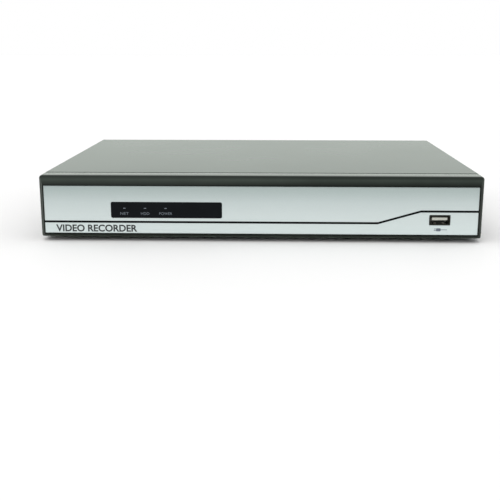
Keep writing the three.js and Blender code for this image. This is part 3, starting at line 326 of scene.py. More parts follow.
class Shape:
    """Closed bodies in millimetres that end up as one piece. A flat outline (a, b) is in the plane across the axis:
    (y, z) for "x", (x, z) for "y" and (x, y) for "z"."""

    def __init__(self, bm=None):
        self.bm = bmesh.new() if bm is None else bm

    def _put(self, points, axis, at):
        turn = AXES[axis]
        return [self.bm.verts.new(turn @ Vector(p) + Vector(at)) for p in points]

    def _faces(self, faces):
        return [self.bm.faces.new(f) for f in faces if len(set(f)) > 2]

    def _bevel(self, faces, width, segments, sharp=25):
        if width <= 0:
            return
        edges = {e for f in faces for e in f.edges}
        edges = [e for e in edges if len(e.link_faces) == 2 and e.calc_face_angle(0) > math.radians(sharp)]
        bmesh.ops.bevel(self.bm, geom=edges, offset=width, segments=segments, profile=0.5, affect="EDGES",
                        clamp_overlap=True)

    def block(self, x, y, z, bevel=0.0, segments=2):
        corners = [(a, b, c) for a in x for b in y for c in z]
        v = [self.bm.verts.new(p) for p in corners]
        order = [(0, 1, 3, 2), (4, 6, 7, 5), (0, 4, 5, 1), (2, 3, 7, 6), (0, 2, 6, 4), (1, 5, 7, 3)]
        faces = self._faces([tuple(v[i] for i in f) for f in order])
        bmesh.ops.recalc_face_normals(self.bm, faces=faces)
        self._bevel(faces, bevel, segments)
        return self

    def prism(self, outline, low, high, axis="y", at=(0, 0, 0), bevel=0.0, segments=2):
        bottom = self._put([(a, b, low) for a, b in outline], axis, at)
        top = self._put([(a, b, high) for a, b in outline], axis, at)
        n = len(outline)
        sides = [(bottom[i], bottom[(i + 1) % n], top[(i + 1) % n], top[i]) for i in range(n)]
        faces = self._faces([tuple(reversed(bottom)), tuple(top), *sides])
        bmesh.ops.recalc_face_normals(self.bm, faces=faces)
        self._bevel(faces, bevel, segments)
        return self

    def ring(self, outer, inner, low, high, axis="y", at=(0, 0, 0)):
        """A tube between two outlines of as many points."""
        n = len(outer)
        loops = [self._put([(a, b, h) for a, b in line], axis, at)
                 for line, h in ((outer, low), (outer, high), (inner, high), (inner, low))]
        faces = []
        for one, two in zip(loops, loops[1:] + loops[:1]):
            faces += [(one[i], one[(i + 1) % n], two[(i + 1) % n], two[i]) for i in range(n)]
        made = self._faces(faces)
        bmesh.ops.recalc_face_normals(self.bm, faces=made)
        return self

    def turned(self, profile, axis="y", at=(0, 0, 0), sides=40):
        """A profile of (radius, along) turned about the axis. It starts and ends on the axis, or closes."""
        turn = AXES[axis]
        rings = []
        for r, h in profile:
            if r < 1e-6:
                rings.append([self.bm.verts.new(turn @ Vector((0, 0, h)) + Vector(at))] * sides)
                continue
            ring = [(r * math.cos(2 * math.pi * i / sides), r * math.sin(2 * math.pi * i / sides), h)
                    for i in range(sides)]
            rings.append(self._put(ring, axis, at))
        pairs = list(zip(rings, rings[1:]))
        if profile[0][0] > 1e-6:
            pairs.append((rings[-1], rings[0]))
        faces = []
        for one, two in pairs:
            for i in range(sides):
                j = (i + 1) % sides
                corners = []
                for v in (one[i], one[j], two[j], two[i]):
                    if v not in corners:
                        corners.append(v)
                if len(corners) > 2:
                    faces.append(tuple(corners))
        made = self._faces(faces)
        bmesh.ops.recalc_face_normals(self.bm, faces=made)
        return self

    def sweep(self, path, section):
        """A closed section (a, b) carried along a path without twisting, and capped."""
        points = [Vector(p) for p in path]
        ways = [(b - a).normalized() for a, b in zip(points, points[1:])]
        ways = [ways[0]] + [(a + b).normalized() for a, b in zip(ways, ways[1:])] + [ways[-1]]
        up = Vector((0, 0, 1)) if abs(ways[0].z) < 0.9 else Vector((1, 0, 0))
        side = ways[0].cross(up).normalized()
        rings = []
        for way, p in zip(ways, points):
            side = (side - way * side.dot(way)).normalized()
            over = side.cross(way).normalized()
            rings.append([self.bm.verts.new(p + side * a + over * b) for a, b in section])
        n = len(section)
        faces = [(one[i], one[(i + 1) % n], two[(i + 1) % n], two[i])
                 for one, two in zip(rings, rings[1:]) for i in range(n)]
        made = self._faces(faces + [tuple(reversed(rings[0])), tuple(rings[-1])])
        bmesh.ops.recalc_face_normals(self.bm, faces=made)
        return self

    def move(self, matrix):
        """Turns or shifts all that has been put in so far."""
        bmesh.ops.transform(self.bm, matrix=matrix.to_4x4(), verts=self.bm.verts)
        return self

    def copies(self, matrices):
        """Repeats what is in so far at each place."""
        source = self.bm.copy()
        bmesh.ops.delete(self.bm, geom=self.bm.verts, context="VERTS")
        for matrix in matrices:
            mesh = bpy.data.meshes.new("copy")
            source.to_mesh(mesh)
            mesh.transform(matrix.to_4x4())
            self.bm.from_mesh(mesh)
            bpy.data.meshes.remove(mesh)
        source.free()
        return self

    def object(self, name):
        bmesh.ops.scale(self.bm, vec=(MM, MM, MM), verts=self.bm.verts)
        mesh = bpy.data.meshes.new(name)
        self.bm.to_mesh(mesh)
        self.bm.free()
        made = bpy.data.objects.new(name, mesh)
        bpy.context.scene.collection.objects.link(made)
        return made


def finish_piece(made, look, body=CHASSIS, replaces=(), smooth=35):
    """Gives a piece its material, its body and the CAD nodes that it replaces."""
    made.data.materials.clear()
    made.data.materials.append(M[look])
    made.data.shade_smooth()
    made.data.set_sharp_from_angle(angle=math.radians(smooth))
    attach(made, body)
    if replaces:
        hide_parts(*([replaces] if isinstance(replaces, str) else replaces))
    return made


def piece(name, shape, look, body=CHASSIS, replaces=(), cut=None, smooth=35):
    """One visible piece. cut is a Shape to take away from it."""
    made = shape.object(name)
    if cut is not None:
        cutter = cut.object(name + "_cutter")
        modifier = made.modifiers.new("cut", "BOOLEAN")
        modifier.object, modifier.operation, modifier.solver = cutter, "DIFFERENCE", "EXACT"
        graph = bpy.context.evaluated_depsgraph_get()
        mesh = bpy.data.meshes.new_from_object(made.evaluated_get(graph))
        made.modifiers.clear()
        made.data = mesh
        mesh.name = name
        bpy.data.objects.remove(cutter)
    return finish_piece(made, look, body, replaces, smooth)


def keep_node(name, look, bevel=0.2, segments=2, sharp=30, smooth=40):
    """A CAD node that is shown as it is, with its edges eased and a better material."""
    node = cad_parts[name]
    if not node.material_slots:
        node.data.materials.append(M[look])
    for slot in node.material_slots:
        slot.material = M[look]
    weld = node.modifiers.new("weld", "WELD")
    weld.merge_threshold = 0.002 * MM
    flat = node.modifiers.new("flat", "DECIMATE")
    flat.decimate_type, flat.angle_limit = "DISSOLVE", math.radians(0.5)
    if bevel:
        ease = node.modifiers.new("ease", "BEVEL")
        ease.width, ease.segments, ease.limit_method = bevel * MM, segments, "ANGLE"
        ease.angle_limit, ease.use_clamp_overlap, ease.harden_normals = math.radians(sharp), True, False
    for polygon in node.data.polygons:
        polygon.use_smooth = False
    return node


def lettering(name, words, centre, size, face_y, look, rear=False, proud=0.03, bold=0.0):
    """Printed words in a box of size (width, height), standing a hair proud of a face across Y."""
    curve = bpy.data.curves.new(name, "FONT")
    curve.body, curve.align_x, curve.align_y, curve.extrude = words, "CENTER", "CENTER", 0.5
    curve.offset = bold
    source = bpy.data.objects.new(name + "_source", curve)
    bpy.context.scene.collection.objects.link(source)
    mesh = bpy.data.meshes.new_from_object(source.evaluated_get(bpy.context.evaluated_depsgraph_get()))
    bpy.data.objects.remove(source)
    co = np.array([v.co for v in mesh.vertices])
    low, high = co.min(0), co.max(0)
    middle = (low + high) / 2
    sx, sy = size[0] / (high[0] - low[0]), size[1] / (high[1] - low[1])
    side = -1 if rear else 1
    for vertex in mesh.vertices:
        x, y, z = (vertex.co[i] - middle[i] for i in range(3))
        depth = proud / 2 + z * proud / (high[2] - low[2])
        vertex.co = Vector((centre[0] + side * x * sx, face_y - side * depth, centre[1] + y * sy)) * MM
    made = bpy.data.objects.new(name, mesh)
    bpy.context.scene.collection.objects.link(made)
    return finish_piece(made, look)


def printed(name, outline, face_y, look, rear=False, proud=0.03, inner=None):
    """A printed patch, or a printed line between two outlines."""
    span = (face_y, face_y + proud) if rear else (face_y - proud, face_y)
    shape = Shape()
    if inner is None:
        shape.prism(outline, *span)
    else:
        shape.ring(outline, inner, *span)
    return piece(name, shape, look)


def catmull_rom(points, steps):
    """A centripetal Catmull-Rom curve through the points, as the CAD leads follow."""
    pts = [np.array(p, float) for p in points]
    pts = [2 * pts[0] - pts[1]] + pts + [2 * pts[-1] - pts[-2]]
    out = []
    for a, b, c, d in zip(pts, pts[1:], pts[2:], pts[3:]):
        t0 = 0.0
        t1 = t0 + np.linalg.norm(b - a) ** 0.5
        t2 = t1 + np.linalg.norm(c - b) ** 0.5
        t3 = t2 + np.linalg.norm(d - c) ** 0.5
        for t in np.linspace(t1, t2, steps, endpoint=False):
            a1 = (t1 - t) / (t1 - t0) * a + (t - t0) / (t1 - t0) * b
            a2 = (t2 - t) / (t2 - t1) * b + (t - t1) / (t2 - t1) * c
            a3 = (t3 - t) / (t3 - t2) * c + (t - t2) / (t3 - t2) * d
            b1 = (t2 - t) / (t2 - t0) * a1 + (t - t0) / (t2 - t0) * a2
            b2 = (t3 - t) / (t3 - t1) * a2 + (t - t1) / (t3 - t1) * a3
            out.append((t2 - t) / (t2 - t1) * b1 + (t - t1) / (t2 - t1) * b2)
    out.append(pts[-2])
    return [Vector(p) for p in out]


M = make_materials()

# ---------------------------------------------------------------- housing and front
FRONT_Y = node_box("front_bezel")[0].y
PANEL_Y = node_box("chassis_pan")[1].y
FASCIA_Y = node_box("fascia_plate")[0].y
TIP_Y = node_box("video_socket_1")[1].y


def build_housing():
    keep_node("top_cover", "cover_paint", 0.48, 3)
    keep_node("chassis_pan", "panel_paint", 0.12)
    keep_node("fascia_plate", "fascia", 0.25)
    keep_node("indicator_window", "smoked", 0.3, 3)


def build_bezel(shoulder_depth=4, radius=2.0):
    """The bezel's moulding. Its shoulder and its outer corners are rounded more than its other edges."""
    low, high = node_box("front_bezel")
    shoulder = low.y + shoulder_depth
    moulding = bmesh.new()
    moulding.from_mesh(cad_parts["front_bezel"].data)
    bmesh.ops.scale(moulding, vec=(1 / MM, 1 / MM, 1 / MM), verts=moulding.verts)
    bmesh.ops.remove_doubles(moulding, verts=moulding.verts, dist=0.002)
    bmesh.ops.dissolve_limit(moulding, angle_limit=math.radians(0.5), verts=moulding.verts,
                             edges=moulding.edges)

    def near(one, other):
        return abs(one - other) < 0.02

    def at_corner(v):
        return near(abs(v.co.x), high.x) and (near(v.co.z, low.z) or near(v.co.z, high.z))

    def wide(edge):
        """The shoulder and the corners behind it. The flat rim round the fascia is too narrow for this radius."""
        return all(at_corner(v) for v in edge.verts) and min(v.co.y for v in edge.verts) > shoulder - 0.02

    edges = [e for e in moulding.edges if len(e.link_faces) == 2 and wide(e)]
    bmesh.ops.bevel(moulding, geom=edges, offset=radius, segments=6, profile=0.5, affect="EDGES",
                    clamp_overlap=True)
    for v in moulding.verts:
        v.co.x = max(low.x, min(high.x, v.co.x))
    made = piece("bezel_moulding", Shape(moulding), "bezel_gloss", replaces="front_bezel", smooth=30)
    ease = made.modifiers.new("ease", "BEVEL")
    ease.width, ease.segments, ease.limit_method = 0.3 * MM, 2, "ANGLE"
    ease.angle_limit, ease.use_clamp_overlap = math.radians(30), True


def build_groove():
    """The black line along the fascia's groove."""
    low, high = node_box("fascia_plate")
    half = 0.74
    line = [(low.x + 0.02, 14.6), (86, 14.6), (117, 23.5), (high.x - 0.02, 23.5)]
    outline = [(x, z - half) for x, z in line] + [(x, z + half) for x, z in reversed(line)]
    shape = Shape().prism(outline, FASCIA_Y + 0.1, FASCIA_Y + 0.39)
    piece("fascia_groove_line", shape, "groove_black")


def build_front_marks():
    lettering("front_words", "VIDEO RECORDER", (-120.5, 9.8), (60.0, 5.3), FASCIA_Y, "ink",
              bold=0.026)
    window_y = node_box("indicator_window")[0].y
    for word, x, width in (("NET", -99.5, 6.2), ("HDD", -84.3, 6.2), ("POWER", -69.2, 9.5)):
        name = word.lower()
        lettering(f"window_word_{name}", word, (x, 20.9), (width, 1.9), window_y, "window_mark")
        spot = rect(*span(x, 0.9), 24.5, 25.1, 0.25, 3)
        printed(f"window_mark_{name}", spot, window_y, "window_mark")
    # a plain plug sign under the socket
    sign = Shape()
    y = (FASCIA_Y - 0.03, FASCIA_Y)
    sign.prism(rect(128.6, 131.8, 8.9, 11.1, 0.5, 4), *y)
    for z in (9.4, 10.6):
        sign.prism(rect(126.9, 128.7, *span(z, 0.22)), *y)
    sign.prism(rect(131.7, 136.4, 9.8, 10.2), *y)
    piece("front_port_sign", sign, "ink_pale")


def build_lamps():
    for use in ("network", "disk", "power"):
        low, high = node_box(f"indicator_{use}")
        at = ((low.x + high.x) / 2, high.y, (low.z + high.z) / 2)
        dome = [(1.5 * math.cos(math.radians(a)), -7.7 - 1.5 * math.sin(math.radians(a))) for a in range(0, 90,
                                                                                                         10)]
        profile = [(0, 0), (1.6, 0), (1.6, -2.8), (1.9, -2.9), (1.9, -3.9), (1.5, -4.0), *dome, (0, -9.2)]
        piece(f"lamp_{use}", Shape().turned(profile, at=at, sides=28), "lamp_clear",
              replaces=f"indicator_{use}")
    keep_node("remote_receiver", "chip", 0.15)
    keep_node("front_board", "board", 0)


def usb_contacts(shape, x, z, y_from, y_to, up):
    """Four contact strips on the flat of a socket's tongue."""
    for i in range(4):
        cx = x + (i - 1.5) * 2.3
        shape.block(span(cx, 0.5), sorted((y_from, y_to)), sorted((z, z + up * 0.12)), 0.03, 1)


def build_front_usb():
    # painted shade: the front socket's shell gets the darkened steel for the shadow in the gap round it
    keep_node("front_usb_shell", "painted_shade_steel", 0.12)
    keep_node("front_usb_tongue", "pale_plastic", 0.12)
    low, high = node_box("front_usb_tongue")
    shell_low, shell_high = node_box("front_usb_shell")
    x = (low.x + high.x) / 2
    strips = Shape()
    usb_contacts(strips, x, (low.z + high.z) / 2 - 0.05, low.y + 0.4, high.y - 4, -1)
    # spring fingers pressed in from the shell's top and bottom
    for sx in (-3, 3):
        for z, way in ((shell_high.z - 0.5, -1), (shell_low.z + 0.5, 1)):
            strips.block(span(x + sx, 0.8), (shell_low.y + 2.2, shell_low.y + 6.5),
                         sorted((z, z + way * 0.25)), 0.08, 1)
    piece("front_usb_contacts", strips, "nickel")


# ---------------------------------------------------------------- rear panel
def cross_recess(radius, low, high, axis="y", at=(0, 0, 0)):
    arm, half = radius * 0.56, radius * 0.13
    cutter = Shape()
    cutter.prism([(-arm, -half), (-half, -half), (-half, -arm), (half, -arm), (half, -half), (arm, -half),
                  (arm, half), (half, half), (half, arm), (-half, arm), (-half, half), (-arm, half)],
                 low, high, axis, at)
    return cutter


def pan_head(radius, height):
    """The profile of a domed screw head above y 0."""
    curve = [(radius * math.cos(math.radians(a)), height * (0.25 + 0.75 * math.sin(math.radians(a))))
             for a in range(0, 86, 12)]
    return [(radius, 0), *curve, (0, height)]


def build_screws():
    for place in ("left", "right", "top"):
        node = f"cover_screw_{place}"
        low, high = node_box(node)
        at = ((low.x + high.x) / 2, high.y - 1.9, (low.z + high.z) / 2)
        profile = [(0, -6), (1.1, -6), (1.4, -5.5), (1.4, 0), *pan_head(2.85, 1.9)]
        piece(f"{node}_fine", Shape().turned(profile, at=at, sides=36), "dark_steel", COVER, node,
              cross_recess(2.9, 0.9, 3, at=at))
    for i in range(1, 5):
        node = f"drive_screw_{i}"
        low, high = node_box(node)
        at = ((low.x + high.x) / 2, (low.y + high.y) / 2, low.z + 1.5)
        head = [(r, -h) for r, h in pan_head(2.75, 1.5)]
        profile = [(0, 7.2), (1.2, 7.2), (1.5, 6.8), (1.5, 0), *head]
        piece(f"{node}_fine", Shape().turned(profile, "z", at, 32), "zinc", CHASSIS, node,
              cross_recess(2.7, -3, -0.7, "z", at))


def build_feet():
    for place in ("front_left", "front_right", "rear_left", "rear_right"):
        low, high = node_box(f"foot_{place}")
        at = ((low.x + high.x) / 2, (low.y + high.y) / 2, 0)
        top = high.z
        profile = [(0, 0.35), (2.2, 0.35), (2.5, 0.0), (6.3, 0.0), (6.8, 0.15), (7.3, 0.6), (7.9, top - 0.3),
                   (8.0, top), (0, top)]
        piece(f"rubber_foot_{place}", Shape().turned(profile, "z", at, 56), "rubber",
              replaces=f"foot_{place}")


def build_coaxial(name, node, insulator_node):
    low, high = node_box(insulator_node)
    at = Vector(((low.x + high.x) / 2, PANEL_Y, (low.z + high.z) / 2))
    body_low, _ = node_box(node)
    tip = TIP_Y - PANEL_Y
    neck, barrel, bore = 6.3, 4.85, 4.05
    outside = [(0, -3.2), (neck, -3.2)]
    y = -1.2
    while y < 1.7:  # the neck's thread
        outside += [(neck, y), (neck - 0.3, y + 0.3), (neck, y + 0.6)]
        y += 0.66
    outside += [(neck, 2.1), (neck - 0.3, 2.6), (barrel + 0.5, 2.65), (barrel, 3.1), (barrel, 4.2),
                (barrel - 0.35, 4.4),
                (barrel - 0.35, 5.2), (barrel, 5.4), (barrel, tip - 0.7), (barrel - 0.15, tip - 0.2),
                (barrel - 0.4, tip),
                (bore + 0.15, tip), (bore, tip - 0.2), (bore, tip - 1.4), (bore - 0.08, tip - 1.6),
                (bore - 0.08, 2.7),
                (0, 2.7)]
    socket = Shape().turned(outside, at=at, sides=56)
    for sign in (-1, 1):
        lug = [(0, 4.2), (1.0, 4.2), (1.0, 5.35), (0.85, 5.5), (0, 5.5)]
        socket.turned([(r, sign * h) for r, h in lug], "z", at + Vector((0, tip - 4.2, 0)), 20)
    piece(f"{name}_barrel", socket, "nickel", replaces=node)
    # the moulded body behind the panel, with its leg to the board
    housing = Shape()
    upper = node in ("video_socket_1", "video_socket_2")  # its leg stands behind the socket below it
    body_half, body_back, leg_back = 6.7, 13.3, 21.3
    across, top = span(at.x, body_half - 0.1), at.z + body_half
    foot = at.z - body_half if upper else body_low.z
    housing.block(across, (PANEL_Y - body_back, PANEL_Y - 1.35), (foot, top), 0.4, 3)
    if upper:
        housing.block(across, (PANEL_Y - leg_back, PANEL_Y - body_back - 0.15), (body_low.z, top), 0.4, 3)
    piece(f"{name}_body", housing, "black_plastic")
    # insulator and centre contact
    mouth = tip - 1.4
    insulator = [(0, 2.75), (3.7, 2.75), (3.7, 3.7), (3.4, 3.9), (2.6, 3.9), (2.42, 4.1), (2.42, mouth - 0.3),
                 (2.2, mouth), (1.25, mouth), (1.1, mouth - 0.2), (1.1, mouth - 3.9), (0, mouth - 3.9)]
    piece(f"{name}_insulator", Shape().turned(insulator, at=at, sides=36), "white_plastic",
          replaces=insulator_node)
    contact = [(0, mouth - 3.8), (1.02, mouth - 3.8), (1.02, mouth - 0.5), (0.95, mouth - 0.4),
               (0.62, mouth - 0.4),
               (0.55, mouth - 0.6), (0.55, mouth - 3.0), (0, mouth - 3.0)]
    slots = Shape().block(span(at.x, 0.09), (at.y + mouth - 2.2, at.y + mouth), span(at.z, 2))
    piece(f"{name}_contact", Shape().turned(contact, at=at, sides=24), "gold", cut=slots)


def d_shape(margin, width=16.9, height=8.3):
    """The display socket's outline, wide side up."""
    top, bottom, half = width / 2 + margin, width / 2 - 1.3 + margin, height / 2 + margin
    radius = 2.4 + margin
    return rounded([(-bottom, -half), (bottom, -half), (top, half), (-top, half)], radius, 7)


def build_vga():
    low, high = node_box("vga_shell")
    at = Vector(((low.x + high.x) / 2, PANEL_Y, (low.z + high.z) / 2))
    out = high.y - PANEL_Y
    shell = Shape().ring(d_shape(0), d_shape(-0.45), -1.9, out - 0.25, at=at)
    shell.ring(d_shape(-0.02), d_shape(-0.43), out - 0.26, out, at=at)
    flange = Shape().prism(rect(-15.3, 15.3, -6.1, 6.1, 1.2), -2.15, -1.35, at=at, bevel=0.15)
    cutter = Shape().prism(d_shape(-0.44), -4, 1, at=at)
    for sign in (-1, 1):
        cutter.prism(circle((12.5 * sign, 0), 1.6, 24), -4, 1, at=at)
    piece("vga_collar", shell, "tinned", replaces="vga_shell")
    piece("vga_flange", flange, "tinned", cut=cutter)
    holes = Shape()
    insert = Shape().prism(d_shape(-0.62), -2.1, out - 0.7, at=at, bevel=0.2)
    contacts = Shape()
    for row, (z, shift) in enumerate(((1.98, 0.0), (0.0, -1.145), (-1.98, 0.0))):
        for i in range(5):
            x = (i - 2) * 2.29 + shift + (0.57 if row == 1 else 0)
            holes.prism(circle((x, z), 0.62, 14), out - 3.4, out + 1, at=at)
            contacts.ring(circle((x, z), 0.5, 14), circle((x, z), 0.3, 14), out - 3.3, out - 1.6, at=at)
    piece("vga_face", insert, "vga_blue", replaces="vga_insert", cut=holes)
    piece("vga_contacts", contacts, "gold")
    rear = Shape().block(span(at.x, 9.4), (PANEL_Y - 11.2, PANEL_Y - 2.3), span(at.z, 5.9), 0.4, 3)
    board_top = node_box("main_board")[1].z + 0.2
    for sign in (-1, 1):
        xs = sorted((at.x + sign * 9.2, at.x + sign * 14.6))
        rear.block(xs, (PANEL_Y - 11.2, PANEL_Y - 4.4), (board_top, at.z + 5.9), 0.4, 3)
    piece("vga_rear_body", rear, "vga_blue")
    for side in ("left", "right"):
        node = f"vga_jackscrew_{side}"
        low, high = node_box(node)
        centre = Vector(((low.x + high.x) / 2, PANEL_Y, (low.z + high.z) / 2))
        nut = Shape().prism([(2.75 * math.cos(math.radians(a)), 2.75 * math.sin(math.radians(a)))
                             for a in range(0, 360, 60)], 0.2, 5.2, at=centre, bevel=0.22, segments=3)
        nut.turned([(0, -4), (1.1, -4), (1.3, -3.6), (1.3, 0.3), (0, 0.3)], at=centre, sides=20)
        thread = [(0, 1.8), (1.1, 1.8)]
        y = 2.0
        while y < 4.7:
            thread += [(1.1, y), (1.32, y + 0.25), (1.1, y + 0.5)]
            y += 0.55
        thread += [(1.2, 4.9), (1.7, 5.4), (0, 5.4)]
        piece(f"{node}_fine", nut, "nickel", replaces=node, cut=Shape().turned(thread, at=centre, sides=28))


def build_hdmi():
    keep_node("hdmi_shell", "tinned", 0.1)
    keep_node("hdmi_tongue", "black_plastic", 0.1)
    low, high = node_box("hdmi_tongue")
    x = (low.x + high.x) / 2
    shell_low, shell_high = node_box("hdmi_shell")
    centre_z = (shell_low.z + shell_high.z) / 2
    strips = Shape()
    for i in range(10):
        cx = x + (i - 4.5)
        strips.block(span(cx, 0.2), (high.y - 6, high.y - 0.5), (centre_z - 0.2, centre_z - 0.1))
        strips.block(span(cx, 0.2), (high.y - 6, high.y - 0.5), (centre_z + 1.1, centre_z + 1.2))
    for sx in (-3.4, 3.4):
        strips.block(span(x + sx, 0.9), (high.y - 3, high.y + 0.6), (centre_z - 2.34, centre_z - 2.05), 0.1, 1)
    piece("hdmi_contacts", strips, "gold")


def build_stack():
    keep_node("port_stack_housing", "tinned", 0.15)
    keep_node("lan_insert", "black_plastic", 0.15)
    low, high = node_box("port_stack_housing")
    x, z, front = (low.x + high.x) / 2, (low.z + high.z) / 2, high.y
    # indicator lamps in the housing's two windows; seen from behind, +X is on the left
    for name, sign, key in (("yellow", 1, "lamp_yellow"), ("green", -1, "lamp_green")):
        cx = x + sign * 5.8
        lamp = Shape().block(span(cx, 1.5), (front - 0.62, front - 0.08), (z + 11.8, z + 14.2), 0.25, 3)
        piece(f"network_lamp_{name}", lamp, key)
    # the network socket's eight spring contacts, slanting down from the back of its roof
    wires = Shape()
    square = [(-0.2, -0.12), (0.2, -0.12), (0.2, 0.12), (-0.2, 0.12)]
    for i in range(8):
        cx = x + (i - 3.5) * 1.02
        wires.sweep([(cx, front - 13.5, z + 8.2), (cx, front - 12.0, z + 8.6), (cx, front - 7.5, z + 6.0),
                     (cx, front - 3.6, z + 4.35), (cx, front - 2.6, z + 4.3)], square)
    piece("network_contacts", wires, "gold")
    # shield springs at the sides of the network socket, and those of the two USB bays
    springs = Shape()
    for level in ("upper", "lower"):
        keep_node(f"usb_tongue_{level}", "black_plastic", 0.1)
        tongue_low, tongue_high = node_box(f"usb_tongue_{level}")
        tz = (tongue_low.z + tongue_high.z) / 2
        usb_contacts(springs, x, tz - 0.05, front - 1.9, front - 9, -1)
        for sx in (-3.2, 3.2):
            springs.block(span(x + sx, 0.9), (front - 6.5, front - 0.9), (tz - 2.7, tz - 2.42), 0.1, 1)
            springs.block(span(x + sx, 0.9), (front - 6.5, front - 0.9), (tz + 2.4, tz + 2.68), 0.1, 1)
    piece("stack_springs", springs, "tinned")


def build_terminal():
    keep_node("terminal_header", "terminal_green", 0.15)
    low, high = node_box("terminal_header")
    x, z = (low.x + high.x) / 2, (low.z + high.z) / 2
    pins = Shape()
    for sign in (-1, 1):
        cx = x + sign * 2.05
        pins.block(span(cx, 0.5), (high.y - 7.2, high.y - 1.2), (z - 0.6, z + 0.4), 0.15, 2)
    piece("terminal_pins", pins, "nickel")
    ribs = Shape()
    for cx in (x - 3.9, *span(x, 0.2), x + 3.9):
        ribs.block(span(cx, 0.12), (high.y - 0.05, high.y + 0.25), (low.z + 0.5, high.z - 0.5), 0.05, 1)
    piece("terminal_ribs", ribs, "terminal_green")


def build_power():
    low, high = node_box("power_jack")
    pin_low, pin_high = node_box("power_jack_pin")
    centre = Vector(((pin_low.x + pin_high.x) / 2, PANEL_Y, (pin_low.z + pin_high.z) / 2))
    body = Shape().block((low.x, high.x), (low.y, high.y), (low.z, high.z), 0.35, 3)
    out = high.y - PANEL_Y
    bore = [(0, -8.5), (3.15, -8.5), (3.15, out - 0.45), (3.55, out - 0.02), (3.55, out + 1), (0, out + 1)]
    piece("power_jack_body", body, "black_plastic", replaces="power_jack",
          cut=Shape().turned(bore, at=centre, sides=48))
    pin = [(0, -8.3), (1.6, -8.3), (1.6, -7.7), (1.0, -7.5), (1.0, -1.3), (0.85, -0.95), (0.5, -0.72),
           (0, -0.7)]
    piece("power_pin", Shape().turned(pin, at=centre, sides=32), "nickel", replaces="power_jack_pin")


def build_rear_print():
    """Printed frames, label bars, numbers and signs. Across is measured to the right as seen from behind."""
    line = 0.44

    def frame_line(name, x0, x1, z0, z1, radius):
        outer = rect(x0, x1, z0, z1, radius)
        inner = rect(x0 + line, x1 - line, z0 + line, z1 - line, radius - line)
        printed(name, outer, PANEL_Y, "ink", True, inner=inner)

    def bar(name, x0, x1, z0, z1, words, height, width, radius=0.6, foot=None):
        corners = [(x0, z0), (x1, z0), (x1, z1), (x0, z1)]
        outline = rounded(corners, [foot, foot, 0.01, 0.01]) if foot else rounded(corners, radius)
        printed(f"{name}_bar", outline, PANEL_Y, "label_black", True, 0.035)
        if words:
            lettering(f"{name}_words", words, ((x0 + x1) / 2, (z0 + z1) / 2), (width, height), PANEL_Y + 0.035,
                      "label_white", True)

    frame_line("video_frame", -6.2, 30.2, 5.2, 38.3, 2.4)
    bar("video", -6.2, 30.2, 5.2, 8.7, "VIDEO IN", 1.7, 12.4, foot=2.4)
    frame_line("audio_frame", -27.0, -6.6, 19.5, 38.2, 2.4)
    bar("audio", -27.0, -6.6, 19.5, 22.7, "AUDIO", 1.7, 8.0, foot=2.4)
    bar("display", -45.8, -37.4, 20.4, 23.2, "OUT", 1.5, 4.6)
    bar("media", -42.2, -31.8, 4.9, 8.3, "DIGITAL", 1.5, 7.6)
    bar("stack", -108.0, -88.6, 4.3, 8.7, "NET   USB", 1.8, 12.5)
    bar("terminal", -119.4, -110.2, 4.5, 8.6, "DATA", 1.6, 6.2)
    bar("power", -129.3, -120.2, 4.5, 8.6, "DC 12V", 1.6, 7.4)
    for number, (x, z) in enumerate(((14.2, 25.6), (-4.3, 25.6), (14.2, 11.7), (-4.3, 11.7)), 1):
        width = 0.9 if number == 1 else 1.4
        lettering(f"video_number_{number}", str(number), (x, z), (width, 2.0), PANEL_Y, "ink", True,
                  bold=0.03)
    for word, x in (("A", -112.7), ("B", -116.7)):
        lettering(f"terminal_letter_{word.lower()}", word, (x, 19.3), (1.3, 1.5), PANEL_Y, "ink", True)
    # a network sign: three boxes joined by lines
    sign = Shape()
    y = (PANEL_Y, PANEL_Y + 0.03)
    for x, z in ((-113.0, 39.2), (-115.2, 35.9), (-110.8, 35.9)):
        sign.ring(rect(*span(x, 0.95), *span(z, 0.75), 0.2, 2), rect(*span(x, 0.65), *span(z, 0.45), 0.1, 2),
                  *y)
    sign.prism(rect(-113.12, -112.88, 37.5, 38.5), *y)
    sign.prism(rect(-115.3, -110.7, 37.3, 37.55), *y)
    for x in (-115.2, -110.8):
        sign.prism(rect(*span(x, 0.12), 36.6, 37.35), *y)
    piece("network_sign", sign, "ink_pale")
    # earth sign: a ring round a stem and three bars
    x, z = -142.2, 7.2
    earth = Shape().ring(circle((x, z), 1.9, 36), circle((x, z), 1.65, 36), *y)
    earth.prism(rect(*span(x, 0.12), z + 0.15, z + 1.3), *y)
    for half, dz in ((0.95, 0.05), (0.6, -0.45), (0.28, -0.95)):
        earth.prism(rect(*span(x, half), *span(z + dz, 0.12)), *y)
    piece("earth_sign", earth, "ink_pale")


# ---------------------------------------------------------------- inside
BOARD_LOW, BOARD_HIGH = node_box("main_board")
BOARD_TOP = BOARD_HIGH.z
CARD_BACK_Y = node_box("front_board")[1].y
DRIVE_LOW, DRIVE_HIGH = node_box("drive_base")
DRIVE_X, DRIVE_Y, DRIVE_Z = (DRIVE_LOW.x + DRIVE_HIGH.x) / 2, (DRIVE_LOW.y + DRIVE_HIGH.y) / 2, DRIVE_LOW.z
BOARD_HOLES = [(x, y) for x in (-144, 39) for y in (-2, 107)]


def build_boards():
    keep_node("main_board", "board", 0)
    keep_node("main_chip", "chip", 0.15)
    keep_node("heat_sink", "aluminium", 0.12)
    keep_node("drive_board", "board", 0)


